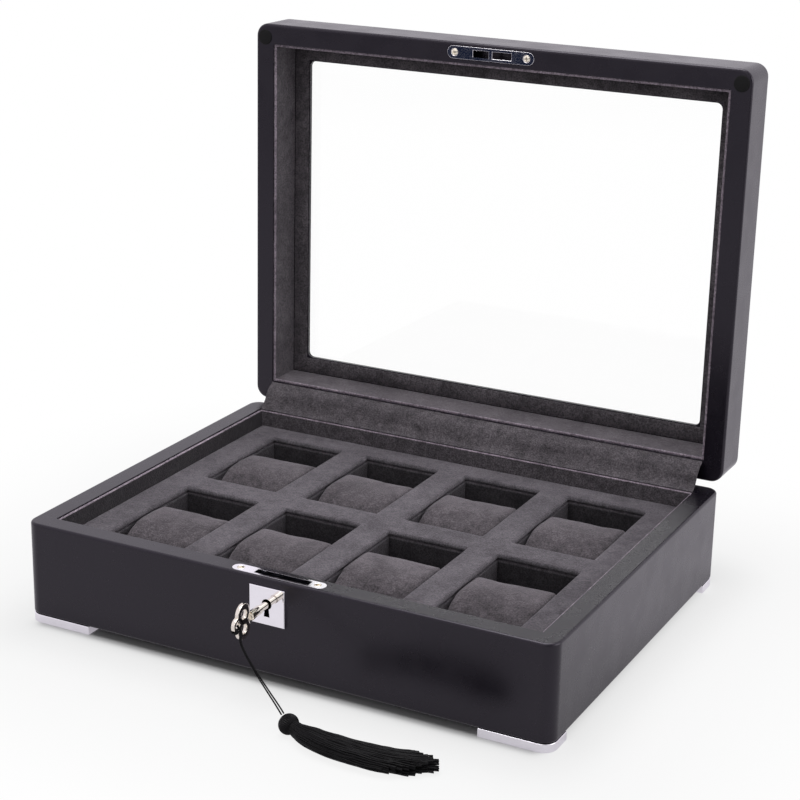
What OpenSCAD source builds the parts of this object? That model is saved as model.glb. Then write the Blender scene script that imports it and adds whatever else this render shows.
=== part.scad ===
// Lacquered watch box with eight cushions, a glazed lid on stop hinges and a twin-claw lock.
// +X is to the right, the front faces -Y, +Z is up; the origin is on the surface, mid box.
// The lid is drawn open on its stop, the key is in the lock with its bit down.

/* [Case] */
// Width of the case, left to right
case_w = 330; // [318:1:360]
// Depth of the case, front to back
case_d = 251; // [244:1:280]
// Height of the base walls, without the feet
base_h = 56.5; // [55:0.5:64]
// Thickness of the base walls and of the lid's rails
wall_t = 12.7; // [12:0.1:14]
// Radius of the four upright corners
corner_r = 8; // [6:0.5:10]
// Rounding of the outer long edges at the rims and the bottom
edge_r = 1.5; // [1:0.1:1.8]
// Thickness of the floor panel
floor_t = 4; // [3:0.5:5]
// Height of the floor panel's underside over the walls' lower edge
floor_up = 1; // [0.5:0.5:2]

/* [Feet] */
// Height of the corner feet
foot_h = 5; // [4:0.5:7]
// Length of a foot along the front
foot_w = 42; // [36:1:50]
// Length of a foot along the side
foot_d = 20; // [16:1:26]
// Distance of the outer foot screw from the side of the case
foot_screw_out = 13; // [11:1:16]
// Distance between the two screws of a foot
foot_screw_pitch = 18; // [14:1:20]

/* [Lid] */
// Height of the closed lid, rim to top
lid_h = 31; // [30:0.5:36]
// Rounding of the lid's top edge
lid_edge_r = 3; // [2:0.5:3.5]
// Gap between the closed rims, held by the bumpers
rim_gap = 0.6; // [0.6:0.1:0.9]
// Angle from closed to the open stop
open_angle = 90.6; // [80:0.1:96]
// Depth from the lid's rim to the suede window trim
lid_recess = 25; // [22:0.5:25]
// Distance from the case side to the window opening
window_in = 25.2; // [23:0.1:32]
// Radius of the window's corners
window_r = 5; // [4:0.5:8]
// Thickness of the glass pane
glass_t = 3; // [2:0.5:3]
// Width of the ledge that the glass lies on
glass_ledge = 5; // [3:0.5:7]
// Play round the edge of the glass
glass_play = 0.3; // [0.2:0.1:0.5]
// Radius of a rubber bumper
bumper_r = 4.8; // [4:0.1:4.8]
// Thickness of a rubber bumper
bumper_t = 0.5; // [0.4:0.1:0.5]
// Distance of a bumper's centre from the side of the lid
bumper_side = 6.5; // [6.4:0.1:7]
// Distance of a bumper's centre from the front of the lid
bumper_front = 8.5; // [7:0.1:20]

/* [Lining and tray] */
// Thickness of the suede covered lining strips
lining_t = 1.2; // [1:0.1:1.5]
// Distance from a rim down to its lining strips
lining_drop = 0.8; // [0.5:0.1:1.2]
// Thickness of the suede pad on the floor
pad_t = 1; // [1:0.5:2]
// Depth of the tray's top below the base rim
tray_drop = 10.5; // [9:0.5:14]
// Play between the tray and the lining
tray_play = 0.3; // [0.2:0.1:0.5]
// Width of the bars at the left and right ends of the tray
end_bar = 20.8; // [19:0.1:23]
// Width of the rails along the front and rear of the tray
side_rail = 18.8; // [17:0.1:21]
// Width of a bar between two columns of pockets
column_bar = 20; // [18:0.5:22]
// Width of the bar between the two rows of pockets
row_bar = 21; // [18:0.5:22]
// Rounding of the padded top edges of the tray
bar_r = 2.5; // [1.5:0.5:3]

/* [Cushions] */
// Gap between a cushion and each side of its pocket
cushion_play = 1; // [0.8:0.1:3]
// Length of a watch cushion, front to back
cushion_d = 46; // [40:0.5:50]
// Height of a cushion's crown over the pad
cushion_h = 39.4; // [36:0.1:42]
// Gap in front of a cushion
cushion_gap = 9.5; // [8:0.5:12]
// Distance from a cushion's front to its crown
crown_in = 24; // [22:1:26]
// Radius of the crown towards the front
crown_front_r = 36; // [34:1:60]
// Radius of the crown towards the back
crown_back_r = 120; // [80:5:200]
// Clearance under a cushion
cushion_clear = 0.2; // [0.1:0.1:0.3]

/* [Hinges] */
// Distance of each hinge from the middle of the case
hinge_x = 100; // [60:1:120]
// Length of a hinge
hinge_l = 40; // [30:1:50]
// Distance of the hinge axis behind the case
hinge_back = 2; // [2:0.1:2.4]
// Outer radius of the knuckles
knuckle_r = 2.2; // [2:0.1:2.2]
// Radius of the hinge pin
hinge_pin_r = 0.8; // [0.7:0.1:1]
// Thickness of a leaf
leaf_t = 1.2; // [1:0.1:1.4]
// How far a leaf reaches over the rim
leaf_reach = 9.5; // [9:0.5:10.5]
// Length of the middle knuckle, which the lid carries
mid_knuckle = 13.2; // [10:0.2:16]
// Distance between the two screws of a leaf
leaf_screw_pitch = 26; // [20:1:27]
// Thickness of the suede strip that covers the hinges
cover_t = 0.8; // [0.6:0.1:1]

/* [Lock] */
// Length of the faceplate and of the striker plate
plate_l = 58; // [57:1:64]
// Width of both plates
plate_w = 8; // [7.6:0.1:8.4]
// Thickness of both plates
plate_t = 1.2; // [1:0.1:1.3]
// Distance from the front of the case to the plates' middle
plate_in = 6.35; // [6.2:0.05:6.5]
// Distance between the two screws of a plate
plate_screw_pitch = 48; // [47.5:0.5:49]
// Middle of the faceplate's slot, from the middle of the plate
slot_mid = 2.5; // [2:0.1:2.8]
// Length of the faceplate's slot
slot_l = 34; // [33:0.5:35]
// Width of the faceplate's slot
slot_w = 5; // [4.6:0.1:5.2]
// Left window of the striker: middle and length
window_a = [-6.35, 10.5];
// Right window of the striker: middle and length
window_b = [7.65, 12.7];
// Width of the striker's windows
striker_slot_w = 4.2; // [4:0.1:4.6]
// Wall of the lock case
lock_wall = 1; // [0.8:0.1:1.1]
// Left and right ends of the lock case's cavity
lock_span = [-17, 19.4];
// Depth of the lock case's cavity under the base's rim
lock_drop = 23.5; // [23:0.5:24.5]
// Front and back of the lock case's cavity, from the front of the case
lock_depth = [3.6, 9.1];
// Pivots of the left and the right claw, from the middle
claw_pivots = [-14, 16.4];
// Depth of the claw pivots below the base rim
claw_pivot_drop = 4; // [3.9:0.1:4.2]
// Radius of a claw's curve, to its middle
claw_r = 9; // [8.8:0.1:9.2]
// Width of a claw
claw_w = 2.6; // [2.2:0.1:2.8]
// Thickness of a claw
claw_t = 1.6; // [1.2:0.1:1.6]
// Front face of the claws, from the front of the case
claw_y = 4.4; // [4.3:0.1:4.5]
// Angle that a claw's curve spans
claw_span = 80; // [70:1:84]
// Radius of a claw's pivot pin
claw_pin_r = 1; // [0.8:0.1:1.2]

/* [Key] */
// Distance of the keyhole from the middle of the case
key_x = -3; // [-4:0.5:-2]
// Depth of the key's axis below the base rim
key_drop = 14.3; // [14:0.1:14.6]
// Side of the square escutcheon
escutcheon = 22; // [21:0.5:26]
// Thickness of the escutcheon
escutcheon_t = 1.8; // [0.8:0.1:2.2]
// Chamfer round the front of the escutcheon plate
escutcheon_edge = 0.3; // [0.2:0.1:0.5]
// How far the escutcheon's middle lies under the keyhole
escutcheon_low = 1.2; // [0:0.1:2]
// Radius of the round part of the keyhole
keyhole_r = 3; // [2.6:0.1:3.4]
// Depth of the keyhole's slot below its centre
keyhole_slot = 7.4; // [7.3:0.1:8]
// Half the width of the slot at its top and at its foot
slot_half = [1.2, 1.8];
// Radius of the key's shank
shank_r = 2; // [1.6:0.1:2.1]
// Radius of the sleeve on the shank
sleeve_r = 2.5; // [2.3:0.1:2.7]
// Distance from the case's front to the sleeve
sleeve_out = 9.5; // [6:0.5:14]
// Radius and length of the collar on the shank
collar_size = [2.9, 2.2];
// Distance from the case's front to the collar
collar_out = 16.8; // [15:0.2:17.6]
// Radius of the key's bit, from its axis
bit_r = 7; // [6:0.1:7.1]
// Thickness of the bit
bit_t = 1.8; // [1.4:0.1:2]
// Front and back of the bit, from the front of the case
bit_depth = [6.3, 8.8];
// Outer radius of the bow's inner two rings
ring_r = 6; // [5.6:0.1:6.2]
// Outer radius of the bow's outer ring, which the cord goes through
eye_r = 4.2; // [4:0.1:4.4]
// Radius of the hole in each ring
ring_hole_r = 2.7; // [2.6:0.1:2.8]
// Thickness of the bow
bow_t = 2.2; // [1.8:0.1:2.4]
// Distance of the inner two rings' middle from the case's front
bow_in = 26.2; // [24:0.2:28]
// Half the distance between the inner two rings
bow_half = 4.2; // [4:0.1:4.6]
// Distance of the outer ring from the case's front
bow_out = 31.9; // [31.9:0.1:32]
// Radius of the lock's cam
cam_r = 8; // [7.8:0.1:8.4]
// Radius of the cam's journal in the back of the lock case
journal_r = 3; // [2.4:0.1:3.4]

/* [Tassel] */
// Radius of the key's cord
cord_r = 0.8; // [0.6:0.1:0.8]
// Radius of the tassel's head
head_r = 6; // [5:0.5:7]
// Radius of the binding below the head
neck_r = 3.2; // [2.5:0.1:4]
// Length of the tassel from the middle of its head to its tip
tassel_l = 91; // [82:1:96]
// Width of the skirt at its tip
skirt_w = 23; // [18:1:28]
// Height of the lying skirt at its middle and its tip
skirt_h = [9.6, 6];

/* [Screws] */
// Head radius, shank radius, head depth and length of a plate or leaf screw
small_screw = [2.1, 1, 1.1, 8];
// Head radius, shank radius, head depth and length of a foot screw
foot_screw = [3, 1.5, 1.6, 14];

/* [Fits] */
// Radial clearance of a pin or a shaft in its hole
run_clear = 0.05; // [0.02:0.01:0.08]
// Clearance round a piece let into the wood
let_in = 0.1; // [0.05:0.05:0.2]
// Clearance between sliding flat faces
slide_clear = 0.2; // [0.1:0.05:0.2]

/* [Hidden] */
$fn = 64;
COLUMNS = 4;
ROWS = 2;
CUSHIONS = [for (row = [0 : ROWS - 1]) for (column = [0 : COLUMNS - 1])
    str(row == 0 ? "cushion_front_" : "cushion_rear_", column + 1)];

lacquer = [0.10, 0.10, 0.11];
suede = [0.33, 0.31, 0.33];
bright = [0.85, 0.85, 0.88];
nickel = [0.86, 0.80, 0.68];
cord_black = [0.06, 0.06, 0.07];

front_y = -case_d / 2;
back_y = case_d / 2;
rim_z = foot_h + base_h;
inner_w = case_w - 2 * wall_t;
inner_d = case_d - 2 * wall_t;
floor_z = foot_h + floor_up;
pad_z = floor_z + floor_t;
tray_z = pad_z + pad_t;
tray_top = rim_z - tray_drop;
tray_h = tray_top - tray_z;
tray_w = inner_w - 2 * lining_t - 2 * tray_play;
tray_d = inner_d - 2 * lining_t - 2 * tray_play;
pockets_w = tray_w - 2 * end_bar;
pockets_d = tray_d - 2 * side_rail;
pocket_w = (pockets_w - (COLUMNS - 1) * column_bar) / COLUMNS;
pocket_d = (pockets_d - (ROWS - 1) * row_bar) / ROWS;
column_pitch = pocket_w + column_bar;
row_pitch = pocket_d + row_bar;
cushion_w = pocket_w - 2 * cushion_play;
lid_z = rim_z + rim_gap;
trim_t = 0.6;
lid_panel_in = lid_recess + trim_t;
hinge_y = back_y + hinge_back;
hinge_z = rim_z + rim_gap / 2;
plate_y = front_y + plate_in;
key_z = rim_z - key_drop;
claw_z = rim_z - claw_pivot_drop;
lock_top = rim_z - plate_t;
lock_floor_z = rim_z - lock_drop;
cam_y = [claw_y + claw_t + slide_clear, lock_depth[1] - slide_clear];
skin = 0.02;
far = 1;

// ---- shared shapes ----

module centred_box(size, z) {
    translate([-size[0] / 2, -size[1] / 2, z]) cube(size);
}

// Half of a rounded bar's section: from the axis out to reach, with both outer corners rounded.
module edge_section(reach, h, top_r, bottom_r) {
    translate([0, bottom_r]) square([reach, h - top_r - bottom_r]);
    square([reach - bottom_r, h / 2]);
    translate([0, h / 2]) square([reach - top_r, h / 2]);
    translate([reach - bottom_r, bottom_r]) circle(bottom_r);
    translate([reach - top_r, h - top_r]) circle(top_r);
}

// A block with round upright corners and rounded top and bottom edges, its underside at z = 0.
module soft_block(w, d, h, top_r, bottom_r) {
    straight = [w - 2 * corner_r, d - 2 * corner_r];
    centred_box([straight[0], straight[1], h], 0);
    for (quarter = [0 : 3]) {
        along = straight[quarter % 2];
        across = straight[(quarter + 1) % 2];
        rotate(90 * quarter) translate([-along / 2, across / 2, 0]) rotate([90, 0, 90])
            linear_extrude(along) edge_section(corner_r, h, top_r, bottom_r);
        rotate(90 * quarter) translate([along / 2, across / 2, 0])
            rotate_extrude(angle = 90) edge_section(corner_r, h, top_r, bottom_r);
    }
}

// The ground plan of one mitred side of a w by d frame, the side that faces -Y.
module mitre_plan(w, d) {
    deep = 2 * wall_t;
    polygon([[-w / 2 - far, -d / 2 - far], [w / 2 + far, -d / 2 - far],
        [w / 2 - deep, -d / 2 + deep], [-w / 2 + deep, -d / 2 + deep]]);
}

// One of four mitred sides of what it is given; side 0 is the front, then right, rear and left.
module mitred_side(side, h) {
    plan = side % 2 == 0 ? [case_w, case_d] : [case_d, case_w];
    intersection() {
        children();
        rotate(90 * side) translate([0, 0, -far]) linear_extrude(h + 2 * far)
            mitre_plan(plan[0], plan[1]);
    }
}

module rounded_rect(w, d, r) {
    square([w - 2 * r, d], center = true);
    square([w, d - 2 * r], center = true);
    for (sx = [-1, 1], sy = [-1, 1])
        translate([sx * (w / 2 - r), sy * (d / 2 - r)]) circle(r);
}

module slot_plan(l, w) {
    square([l - w, w], center = true);
    for (end = [-1, 1]) translate([end * (l - w) / 2, 0]) circle(w / 2);
}

// A countersunk screw standing head up, its head's top at z = 0; grow widens it for its hole.
module screw(size, grow = 0) {
    rotate_extrude() polygon([[0, 0], [size[0] + grow, 0], [size[1] + grow, -size[2]],
        [size[1] + grow, -size[3] + size[1]], [0, -size[3] - grow]]);
}

// Turns what is drawn in the closed position about the hinge pins to the open stop.
module lid_place() {
    translate([0, hinge_y, hinge_z]) rotate([-open_angle, 0, 0])
        translate([0, -hinge_y, -hinge_z]) children();
}

// A section drawn in Y and Z, pushed along X from x0 over length l.
module along_x(x0, l) {
    translate([x0, 0, 0]) rotate([90, 0, 90]) linear_extrude(l) children();
}

// A plan drawn in X and Z, pushed towards the back from y0 over length l.
module along_y(y0, l) {
    translate([0, y0 + l, 0]) rotate([90, 0, 0]) linear_extrude(l) children();
}

// ---- base ----

module base_ring() {
    translate([0, 0, foot_h]) difference() {
        soft_block(case_w, case_d, base_h, edge_r, edge_r);
        centred_box([inner_w, inner_d, base_h + 2 * far], -far);
    }
}

module base_side(side) {
    color(lacquer) mitred_side(side, rim_z) base_ring();
}

module keyhole_plan() {
    translate([key_x, key_z]) circle(keyhole_r);
    translate([key_x, key_z]) polygon([[-slot_half[0], 0], [slot_half[0], 0],
        [slot_half[1], -keyhole_slot], [-slot_half[1], -keyhole_slot]]);
}

module plate_screw_places() {
    for (side = [-1, 1]) translate([side * plate_screw_pitch / 2, plate_y, rim_z]) children();
}

module lock_body_box(grow) {
    low = [lock_span[0] - lock_wall - grow, front_y + lock_depth[0] - lock_wall - grow,
        lock_floor_z - lock_wall - grow];
    high = [lock_span[1] + lock_wall + grow, front_y + lock_depth[1] + lock_wall + grow, lock_top];
    translate(low) cube(high - low);
}

module front_wall() {
    difference() {
        base_side(0);
        translate([0, plate_y, rim_z - plate_t]) linear_extrude(plate_t + far)
            slot_plan(plate_l + 2 * let_in, plate_w + 2 * let_in);
        lock_body_box(let_in);
        along_y(front_y - far, plate_in) keyhole_plan();
        plate_screw_places() screw(small_screw, run_clear);
        foot_screw_places(-1, -1) screw(foot_screw, run_clear);
        foot_screw_places(1, -1) screw(foot_screw, run_clear);
    }
}

module rear_wall() {
    difference() {
        base_side(2);
        for (side = [-1, 1]) {
            translate([side * hinge_x - hinge_l / 2 - let_in, back_y - leaf_reach - let_in, rim_z - leaf_t])
                cube([hinge_l + 2 * let_in, leaf_reach + far, leaf_t + far]);
            leaf_screw_places(side) screw(small_screw, run_clear);
        }
        foot_screw_places(-1, 1) screw(foot_screw, run_clear);
        foot_screw_places(1, 1) screw(foot_screw, run_clear);
    }
}

module left_wall() {
    base_side(3);
}

module right_wall() {
    base_side(1);
}

module floor_panel() {
    color(lacquer) centred_box([inner_w, inner_d, floor_t], floor_z);
}

module foot_plan() {
    translate([-foot_w, -foot_d]) square([foot_w - corner_r, foot_d]);
    translate([-foot_w, -foot_d]) square([foot_w, foot_d - corner_r]);
    translate([-corner_r, -corner_r]) circle(corner_r);
}

// Screws of the foot at corner (sx, sy), heads down, in the middle of the front or rear wall.
module foot_screw_places(sx, sy) {
    for (place = [0, 1])
        translate([sx * (case_w / 2 - foot_screw_out - place * foot_screw_pitch),
            sy * (case_d / 2 - wall_t / 2), 0]) rotate([180, 0, 0]) children();
}

module foot(sx, sy) {
    color(bright) difference() {
        scale([sx, sy, 1]) translate([case_w / 2, case_d / 2, 0]) linear_extrude(foot_h) foot_plan();
        foot_screw_places(sx, sy) screw(foot_screw, run_clear);
    }
}

module foot_screws() {
    color(bright) for (sx = [-1, 1], sy = [-1, 1]) foot_screw_places(sx, sy) screw(foot_screw);
}

// ---- base lining and tray ----

module lining_end(front, z, h) {
    y = front ? -inner_d / 2 : inner_d / 2 - lining_t;
    color(suede) translate([-inner_w / 2, y, z]) cube([inner_w, lining_t, h]);
}

module lining_side(side, z, h) {
    x = side < 0 ? -inner_w / 2 : inner_w / 2 - lining_t;
    color(suede) translate([x, -inner_d / 2 + lining_t, z])
        cube([lining_t, inner_d - 2 * lining_t, h]);
}

lining_h = rim_z - lining_drop - tray_z;

module floor_pad() {
    color(suede) centred_box([inner_w, inner_d, pad_t], pad_z);
}

// Section of a padded bar, w wide, with soft top edges.
module bar_section(w) {
    square([w, tray_h - bar_r]);
    translate([bar_r, 0]) square([w - 2 * bar_r, tray_h]);
    for (x = [bar_r, w - bar_r]) translate([x, tray_h - bar_r]) circle(bar_r);
}

function row_y(row) = -pockets_d / 2 + row * row_pitch;
function column_x(column) = -pockets_w / 2 + column * column_pitch;

module tray_rails() {
    rails = [[-tray_d / 2, side_rail], [row_y(1) - row_bar, row_bar], [pockets_d / 2, side_rail]];
    color(suede) for (rail = rails)
        translate([0, rail[0], tray_z]) along_x(-tray_w / 2, tray_w) bar_section(rail[1]);
}

module tray_dividers() {
    ends = [[-tray_w / 2, end_bar], [pockets_w / 2, end_bar]];
    middles = [for (column = [1 : COLUMNS - 1]) [column_x(column) - column_bar, column_bar]];
    color(suede) for (bar = concat(ends, middles), row = [0 : ROWS - 1])
        translate([bar[0], row_y(row) + pocket_d, tray_z]) rotate([90, 0, 0])
            linear_extrude(pocket_d) bar_section(bar[1]);
}

// ---- cushions ----

// Side view of a cushion: flat back and foot, a crown that falls away towards the front.
module cushion_section() {
    intersection() {
        square([crown_in, cushion_h]);
        translate([crown_in, cushion_h - crown_front_r]) circle(crown_front_r, $fn = 128);
    }
    intersection() {
        translate([crown_in, 0]) square([cushion_d - crown_in, cushion_h]);
        translate([crown_in, cushion_h - crown_back_r]) circle(crown_back_r, $fn = 128);
    }
}

module cushion(row, column) {
    x = column_x(column) + (pocket_w - cushion_w) / 2;
    y = row_y(row) + cushion_gap;
    color(suede) translate([0, y, tray_z + cushion_clear]) along_x(x, cushion_w) cushion_section();
}

// ---- lock and key ----

// A slice of the escutcheon plate: it starts out from the front wall, is l thick and inset all round.
module escutcheon_slice(out, l, inset) {
    along_y(front_y - out, l)
        translate([key_x, key_z - escutcheon_low]) square(escutcheon - 2 * inset, center = true);
}

module escutcheon_plate() {
    color(bright) difference() {
        hull() {
            escutcheon_slice(escutcheon_t, skin, escutcheon_edge);
            escutcheon_slice(escutcheon_t - escutcheon_edge, escutcheon_t - escutcheon_edge, 0);
        }
        along_y(front_y - escutcheon_t - far, escutcheon_t + 2 * far) keyhole_plan();
    }
}

module lock_case() {
    cavity = [lock_span[1] - lock_span[0], lock_depth[1] - lock_depth[0], lock_top - lock_floor_z + far];
    color(bright) {
        difference() {
            lock_body_box(0);
            translate([lock_span[0], front_y + lock_depth[0], lock_floor_z]) cube(cavity);
            along_y(front_y + lock_depth[0] - lock_wall - far, lock_wall + 2 * far) keyhole_plan();
            along_y(front_y + lock_depth[1] - far, lock_wall + 2 * far)
                translate([key_x, key_z]) circle(journal_r);
        }
        for (x = claw_pivots) along_y(front_y + lock_depth[0], cavity[1])
            translate([x, claw_z]) circle(claw_pin_r);
    }
}

module lock_faceplate() {
    color(bright) difference() {
        translate([0, plate_y, rim_z - plate_t]) linear_extrude(plate_t) difference() {
            slot_plan(plate_l, plate_w);
            translate([slot_mid, 0]) square([slot_l, slot_w], center = true);
        }
        plate_screw_places() screw(small_screw, run_clear);
    }
}

module lock_screws() {
    color(nickel) plate_screw_places() screw(small_screw);
}

module lock_cam() {
    color(bright) difference() {
        union() {
            along_y(front_y + cam_y[0], cam_y[1] - cam_y[0]) translate([key_x, key_z]) circle(cam_r);
            along_y(front_y + cam_y[0], lock_depth[1] + lock_wall - cam_y[0])
                translate([key_x, key_z]) circle(journal_r - run_clear);
        }
        along_y(front_y + cam_y[0] - far, cam_y[1] - cam_y[0] + far) translate([key_x, key_z]) {
            circle(shank_r + run_clear);
            translate([-bit_t / 2 - slide_clear / 2, -bit_r - slide_clear])
                square([bit_t + slide_clear, bit_r + slide_clear]);
        }
    }
}

// A claw with its pivot at the origin, drawn in X and Z for the left-hand side, withdrawn.
module claw_plan() {
    nose = 8;
    hub_r = claw_w;
    difference() {
        union() {
            circle(hub_r);
            rotate(10 - claw_span) translate([0, -claw_w / 2]) square([claw_r, claw_w]);
            difference() {
                circle(claw_r + claw_w / 2);
                circle(claw_r - claw_w / 2);
                claw_gap_plan(0, 360 - claw_span);
            }
            difference() {
                circle(claw_r);
                circle(claw_r - claw_w);
                claw_gap_plan(0, 360 - nose);
            }
        }
        circle(claw_pin_r + run_clear);
    }
}

// The part of a disc between two angles that a claw's curve leaves open.
module claw_gap_plan(from, to) {
    reach = 3 * claw_r;
    steps = ceil((to - from) / 60);
    polygon(concat([[0, 0]], [for (i = [0 : steps]) let (a = from + (to - from) * i / steps)
        [reach * cos(a), reach * sin(a)]]));
}

module claw(side) {
    x = side < 0 ? claw_pivots[0] : claw_pivots[1];
    color(bright) along_y(front_y + claw_y, claw_t) translate([x, claw_z])
        scale([-side, 1]) claw_plan();
}

module key() {
    color(nickel) difference() {
        union() {
            key_round(bow_in - ring_r, bow_in - ring_r + bit_depth[1], shank_r);
            key_round(collar_out, collar_out - sleeve_out, sleeve_r);
            key_round(collar_out + collar_size[1], collar_size[1], collar_size[0]);
            translate([key_x - bit_t / 2, front_y + bit_depth[0], key_z - bit_r])
                cube([bit_t, bit_depth[1] - bit_depth[0], bit_r]);
            translate([key_x - bow_t / 2, front_y - bow_in, key_z - shank_r])
                cube([bow_t, bow_in - collar_out - collar_size[1], 2 * shank_r]);
            bow_discs(ring_r, eye_r, bow_t);
        }
        bow_discs(ring_hole_r, ring_hole_r, bow_t + 2 * far);
    }
}

// A round length of the key that starts a distance out from the case and runs inwards.
module key_round(out, l, r) {
    translate([key_x, front_y - out, key_z]) rotate([-90, 0, 0]) cylinder(r = r, h = l);
}

module bow_discs(inner_r, outer_r, t) {
    for (side = [-1, 1]) bow_disc(bow_in, side * bow_half, inner_r, t);
    bow_disc(bow_out, 0, outer_r, t);
}

module bow_disc(out, up, r, t) {
    translate([key_x - t / 2, front_y - out, key_z + up]) rotate([0, 90, 0]) cylinder(r = r, h = t);
}

// ---- cord and tassel ----

head_centre = [36.8, -171.3, head_r];
// The way from the head's middle to where the cord leaves it.
cord_leaves = [-0.624, 0.039, 0.780];
cord_route = [[-3, -157.4, 47.2], [-1, -157.4, 45.2], [0, -158, 43.6], [0.2, -159.1, 41.8],
    [0.8, -160, 39.6], [2.8, -161, 36.6], [6, -162.2, 33.2], [10, -163.6, 29.6], [14, -165, 26.2],
    [18, -166.4, 23], [22, -167.8, 20], [25.6, -169.1, 17.4], [28.8, -170.2, 15],
    head_centre + (head_r + 2.6) * cord_leaves, head_centre + head_r * cord_leaves];
neck_end = [44.8, -174.2, 5];
CORD_SIDES = 8;

function unit(v) = v / norm(v);
function route_way(i) =
    unit(cord_route[min(i + 1, len(cord_route) - 1)] - cord_route[max(i - 1, 0)]);
// The cord never runs along -Y, so this gives every ring the same start without a twist.
function side_of(way) = unit(cross(way, [0, 1, 0]));
function ring_at(i) = let (way = route_way(i), a = side_of(way), b = cross(way, a))
    [for (k = [0 : CORD_SIDES - 1]) let (t = 360 * k / CORD_SIDES)
        cord_route[i] + cord_r * (cos(t) * a + sin(t) * b)];

module key_cord() {
    rings = len(cord_route);
    points = [for (i = [0 : rings - 1]) each ring_at(i)];
    sides = [for (i = [0 : rings - 2]) for (k = [0 : CORD_SIDES - 1])
        let (n = (k + 1) % CORD_SIDES, lo = i * CORD_SIDES, hi = lo + CORD_SIDES)
            [lo + k, hi + k, hi + n, lo + n]];
    start_cap = [for (k = [0 : CORD_SIDES - 1]) k];
    end_cap = [for (k = [CORD_SIDES - 1 : -1 : 0]) (rings - 1) * CORD_SIDES + k];
    color(cord_black) polyhedron(points, concat([start_cap], sides, [end_cap]));
}

// Aims the Z axis of what it is given along v.
module aim(v) {
    rotate([0, acos(v[2] / norm(v)), atan2(v[1], v[0])]) children();
}

module tassel_head() {
    way = neck_end - head_centre;
    color(cord_black) translate(head_centre) aim(way) rotate_extrude() {
        intersection() {
            circle(head_r);
            translate([0, -head_r]) square([head_r, 2 * head_r]);
        }
        square([neck_r, norm(way)]);
    }
}

module tassel_skirt() {
    way = unit(neck_end - head_centre);
    reach = tassel_l - skirt_h[1];
    mid = [head_centre[0] + reach / 2, head_centre[1] - 9, skirt_h[0] / 2];
    tip = [head_centre[0] + reach, head_centre[1] - 0.5, skirt_h[1] / 2];
    color(cord_black) hull() {
        translate(neck_end) aim(way) cylinder(r = neck_r, h = 2, $fn = 24);
        translate(mid) scale([skirt_w / 2, skirt_w / 2.6, skirt_h[0] / 2]) sphere(1, $fn = 24);
        translate(tip) scale([skirt_h[1], skirt_w / 2, skirt_h[1] / 2]) sphere(1, $fn = 24);
    }
}

// ---- hinges, drawn about the pin's axis with the leaf towards -Y and below ----

// Start and length of each knuckle of a leaf: the lid's leaf has the middle one, the base's both outer ones.
function knuckle_spans(mid) =
    let (outer = (hinge_l - mid_knuckle) / 2 - slide_clear)
    mid ? [[-mid_knuckle / 2, mid_knuckle]] : [[-hinge_l / 2, outer], [hinge_l / 2 - outer, outer]];

module leaf(mid) {
    root = hinge_back + knuckle_r - hinge_back / 2;
    plate_end = hinge_back + leaf_reach;
    top = -rim_gap / 2;
    difference() {
        union() {
            translate([-hinge_l / 2, -plate_end, top - leaf_t])
                cube([hinge_l, plate_end - root, leaf_t]);
            for (span = knuckle_spans(mid)) {
                translate([span[0], -root - skin, top - leaf_t])
                    cube([span[1], root + skin, leaf_t]);
                along_x(span[0], span[1]) circle(knuckle_r);
            }
        }
        along_x(-hinge_l / 2 - far, hinge_l + 2 * far) circle(hinge_pin_r + run_clear);
        leaf_holes() screw(small_screw, run_clear);
    }
}

module leaf_holes() {
    for (side = [-1, 1])
        translate([side * leaf_screw_pitch / 2, -hinge_back - leaf_reach / 2, -rim_gap / 2])
            children();
}

module hinge_at(side) {
    translate([side * hinge_x, hinge_y, hinge_z]) children();
}

module leaf_screw_places(side) {
    hinge_at(side) leaf_holes() children();
}

// The lid's half of a hinge is the base's, turned over about the middle of the rim gap.
module lid_hinge_at(side) {
    lid_place() hinge_at(side) mirror([0, 0, 1]) children();
}

module hinge_base_leaf(side) {
    color(bright) hinge_at(side) leaf(false);
}

module hinge_lid_leaf(side) {
    color(bright) lid_hinge_at(side) leaf(true);
}

module hinge_pins() {
    color(bright) for (side = [-1, 1])
        hinge_at(side) along_x(-hinge_l / 2, hinge_l) circle(hinge_pin_r);
}

module hinge_base_screws() {
    color(bright) for (side = [-1, 1]) leaf_screw_places(side) screw(small_screw);
}

module hinge_lid_screws() {
    color(bright) for (side = [-1, 1]) lid_hinge_at(side) leaf_holes() screw(small_screw);
}

// Middle line of the suede strip over the hinges, in Y and Z, from the base's rim to the lid's.
inner_back = back_y - wall_t;
cover_lift = cover_t / 2 + 0.3;
cover_start = [inner_back + 0.6, rim_z + cover_lift];
cover_end = [hinge_y + rim_gap / 2 - cover_lift, hinge_z + hinge_back + wall_t - 0.5];
// Its bends, as shares of the way back and of the way up.
cover_bends = [[0, 0], [0.19, 0.1], [0.32, 0.31], [0.44, 0.54], [0.64, 0.78], [1, 1]];
cover_line = [for (bend = cover_bends) let (way = cover_end - cover_start)
    cover_start + [bend[0] * way[0], bend[1] * way[1]]];

function line_way(points, i) =
    unit(points[min(i + 1, len(points) - 1)] - points[max(i - 1, 0)]);
function beside(points, off) = [for (i = [0 : len(points) - 1]) let (way = line_way(points, i))
    points[i] + off * [-way[1], way[0]]];
function backwards(points) = [for (i = [len(points) - 1 : -1 : 0]) points[i]];

module hinge_cover() {
    l = inner_w - 2 * lining_t;
    color(suede) along_x(-l / 2, l)
        polygon(concat(beside(cover_line, cover_t / 2), backwards(beside(cover_line, -cover_t / 2))));
}

// ---- lid, drawn closed and turned open ----

module lid_block() {
    translate([0, 0, lid_z]) soft_block(case_w, case_d, lid_h, lid_edge_r, edge_r);
}

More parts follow.
